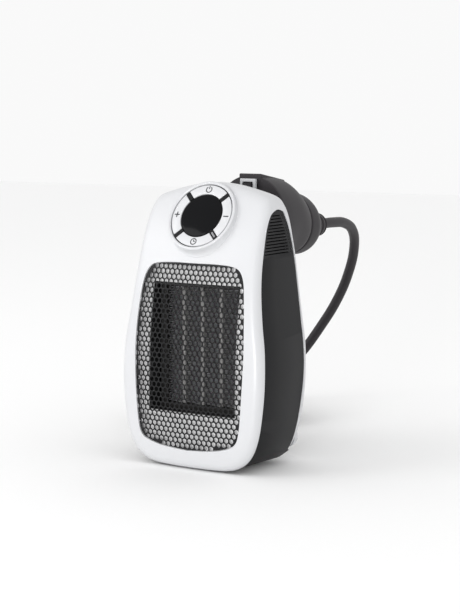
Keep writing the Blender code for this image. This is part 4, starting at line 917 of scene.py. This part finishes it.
def make_strain_relief():
    """Ribbed sleeve that tapers from the socket's neck down to the cord."""
    low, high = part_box("strain_relief")
    middle = (low[2] + high[2]) / 2.0
    length = high[1] - low[1]
    profile = [(low[1], RELIEF_RADIUS * 0.97), (low[1] + RELIEF_EDGE, RELIEF_RADIUS)]
    rib = ((0.0, 1.0), (0.08, 0.96), (0.14, 0.90), (0.36, 0.90), (0.42, 0.95), (0.50, 0.985))
    pitch = length / (RELIEF_RIBS + 0.6)
    for k in range(RELIEF_RIBS):
        y = low[1] + (k + 0.55) * pitch
        radius = RELIEF_RADIUS * (1.0 - 0.025 * k)
        for share, size in rib:
            profile.append((y + share * pitch, radius * size))
    profile += [(high[1] - RELIEF_NOSE, RELIEF_RADIUS * 0.86),
                (high[1] - RELIEF_EDGE, RELIEF_RADIUS * 0.78),
                (high[1], CORD_RADIUS * 1.55)]
    relief = add("cord_sleeve", turned(profile, 64, (0.0, middle)), "socket_rubber", None, 50.0)
    return put(relief, "lead", "strain_relief")


# Route of the cord, Y from the datum: from the strain relief down to the coil.
CORD_ROUTE = ((0.0, 0.1678, 0.1464), (0.0, 0.1885, 0.1465), (-0.001, 0.2080, 0.1448),
              (-0.004, 0.2262, 0.1378), (-0.010, 0.2400, 0.1240), (-0.019, 0.2488, 0.1045),
              (-0.031, 0.2528, 0.0820), (-0.045, 0.2520, 0.0600), (-0.060, 0.2470, 0.0380),
              (-0.076, 0.2390, 0.0195), (-0.0915, 0.2280, 0.0080), (-0.1040, 0.2130, 0.0042),
              (-0.1115, 0.1945, 0.0040))
TAIL_ROUTE = ((-0.0970, 0.1135, 0.0192), (-0.0880, 0.1075, 0.0190), (-0.0790, 0.1010, 0.0187),
              (-0.0705, 0.0940, 0.0185), (-0.0610, 0.0930, 0.0185))

# Turns since the coil's start, distance from its middle line, height: each lane lies
# beside or on the one before, and changes over where nothing is under it.
COIL_CENTRE = (-0.0725, 0.1600)
COIL_MEAN_RADIUS = 0.0405
COIL_TURN_STEPS = 20
COIL_START = 0.52
COIL_LANES = ((0.0, 0.0039, 0.0052), (0.62, 0.0039, 0.0052), (0.80, -0.0037, 0.0053),
              (1.42, -0.0037, 0.0053), (1.62, -0.0037, 0.0127), (2.24, -0.0037, 0.0127),
              (2.42, 0.0039, 0.0127), (3.04, 0.0039, 0.0127), (3.22, 0.0039, 0.0199),
              (3.95, 0.0039, 0.0199), (4.09, 0.0055, 0.0196))


def coil_points():
    """Points along the turns, worked out from the lanes."""
    points = []
    last = COIL_LANES[-1][0]
    count = round(last * COIL_TURN_STEPS)
    for k in range(count + 1):
        turn = last * k / count
        for (t0, r0, z0), (t1, r1, z1) in zip(COIL_LANES, COIL_LANES[1:]):
            if turn <= t1 + 1e-9:
                break
        ease = (turn - t0) / (t1 - t0)
        ease = ease * ease * (3.0 - 2.0 * ease)
        radius = COIL_MEAN_RADIUS + r0 + (r1 - r0) * ease
        angle = TURN * (COIL_START + turn)
        points.append((COIL_CENTRE[0] + radius * math.cos(angle),
                       COIL_CENTRE[1] + radius * math.sin(angle), z0 + (z1 - z0) * ease))
    return points


def make_cord():
    """The whole cord as one smooth line: free run, coil, tail to the plug."""
    route = list(CORD_ROUTE) + coil_points() + list(TAIL_ROUTE)
    points = [Vector((x, y + DATUM_Y, z)) for x, y, z in route]
    curve = bpy.data.curves.new("mains_cord", "CURVE")
    curve.dimensions = "3D"
    curve.bevel_depth = CORD_RADIUS
    curve.bevel_resolution = 6
    curve.use_fill_caps = True
    curve.resolution_u = 6
    line = curve.splines.new("BEZIER")
    line.bezier_points.add(len(points) - 1)
    for target, point in zip(line.bezier_points, points):
        target.co = point
        target.handle_left_type = "AUTO"
        target.handle_right_type = "AUTO"
    cord = bpy.data.objects.new("mains_cord", curve)
    bpy.context.scene.collection.objects.link(cord)
    curve.materials.append(MATERIALS["cord_rubber"])
    put(cord, "lead", "cord", "cord_tail", "cord_coil")
    length = sum((b - a).length for a, b in zip(points, points[1:]))
    return cord, points[0], length


# ------------------------------------------------------------------ set-up
def dress_nodes():
    """Finishes of the frame's own nodes that stay as they are."""
    nodes = frame["nodes"]
    finishes = {
        "grille_surround": "surround_white_painted_light", "air_duct": "inner_black", "heater_frame": "mica_board",
        "fan_housing": "inner_black", "fan_rotor": "inner_black", "fan_motor": "plain_steel",
        "motor_shaft": "plain_steel", "dial_carrier": "carrier_black", "indicator_window": "indicator_grey",
        "display_board": "solder_mask", "control_board": "solder_mask", "power_relay": "inner_black",
        "thermal_cutout": "plain_steel", "plug_base": "cover_charcoal", "latch_loop": "shell_white",
        "socket_insert": "inner_black", "latch_tongue": "socket_rubber", "coil_tie": "tie_black",
        "mains_plug": "socket_rubber", "rear_bumper_left": "shell_white", "rear_bumper_right": "shell_white",
    }
    finishes.update({"foot_pad_%d" % k: "pad_rubber" for k in range(1, 5)})
    finishes.update({"cover_screw_%d" % k: "plain_steel" for k in range(1, 5)})
    finishes.update({"ptc_bar_%d" % k: "fired_ceramic" for k in range(1, 4)})
    finishes.update({"switch_" + name: "inner_black" for name in ("power", "plus", "minus", "timer")})
    finishes.update({"%s_pin_%d" % (end, k): "plated_pin" for end in ("plug", "mains") for k in (1, 2)})
    for name, finish in finishes.items():
        obj = nodes[name]
        for slot in obj.material_slots:
            slot.material = MATERIALS[finish]


CAMERA_LENS = 93.8
CAMERA_PLACE = (0.5570, -0.9103, 0.2279)
CAMERA_DIP = math.radians(7.056)
CAMERA_TURN = math.radians(32.42)


def make_camera():
    """A long lens from the front right, looking slightly down."""
    data = bpy.data.cameras.new("camera")
    data.lens = CAMERA_LENS
    data.sensor_width = 36.0
    camera = bpy.data.objects.new("camera", data)
    bpy.context.scene.collection.objects.link(camera)
    camera.location = CAMERA_PLACE
    camera.rotation_euler = (math.pi / 2.0 - CAMERA_DIP, 0.0, CAMERA_TURN)
    bpy.context.scene.camera = camera


def add_light(name, place, target, size, power):
    """A round soft light at a place, aimed at a target."""
    data = bpy.data.lights.new(name, "AREA")
    data.shape = "DISK"
    data.size = size
    data.energy = power
    light = bpy.data.objects.new(name, data)
    bpy.context.scene.collection.objects.link(light)
    light.location = place
    light.rotation_euler = (Vector(target) - Vector(place)).to_track_quat("-Z", "Y").to_euler()


def make_studio():
    """White surroundings, a soft key from the left, a front light and a paper floor."""
    world = bpy.data.worlds.new("studio")
    world.use_nodes = True
    background = world.node_tree.nodes["Background"]
    background.inputs["Color"].default_value = (1.0, 1.0, 1.0, 1.0)
    background.inputs["Strength"].default_value = 0.95
    bpy.context.scene.world = world
    bpy.context.scene.view_settings.view_transform = "Standard"
    middle = (0.0, 0.0, 0.10)
    add_light("key", (-1.1, -1.2, 0.9), middle, 0.9, 5.5)
    add_light("front", (0.45, -1.6, 0.14), middle, 0.3, 9.0)

    bm = bmesh.new()
    bmesh.ops.create_grid(bm, x_segments=1, y_segments=1, size=3.0)
    finish = Finish("paper_floor", (0.96, 0.96, 0.96), 0.7, Specular_IOR_Level=0.1)
    fibre = finish.noise(300.0, 3.0)
    finish.tone(fibre, (0.955, 0.955, 0.955), (0.975, 0.975, 0.975))
    MATERIALS["paper_floor"] = finish.material
    floor = add("floor", bm, "paper_floor")


def main():
    make_camera()
    cord, cord_exit, length = make_cord()
    make_shell()
    make_side_panel("panel_left", -1, "side_panel_left")
    make_side_panel("panel_right", 1, "side_panel_right")
    make_base()
    make_rear_cover()
    make_grille()
    for k in range(1, 5):
        make_fins(k)
    make_display()
    for node, degrees in BUTTONS.items():
        make_button(node, degrees)
    make_socket()
    make_strain_relief()
    dress_nodes()
    make_studio()


main()
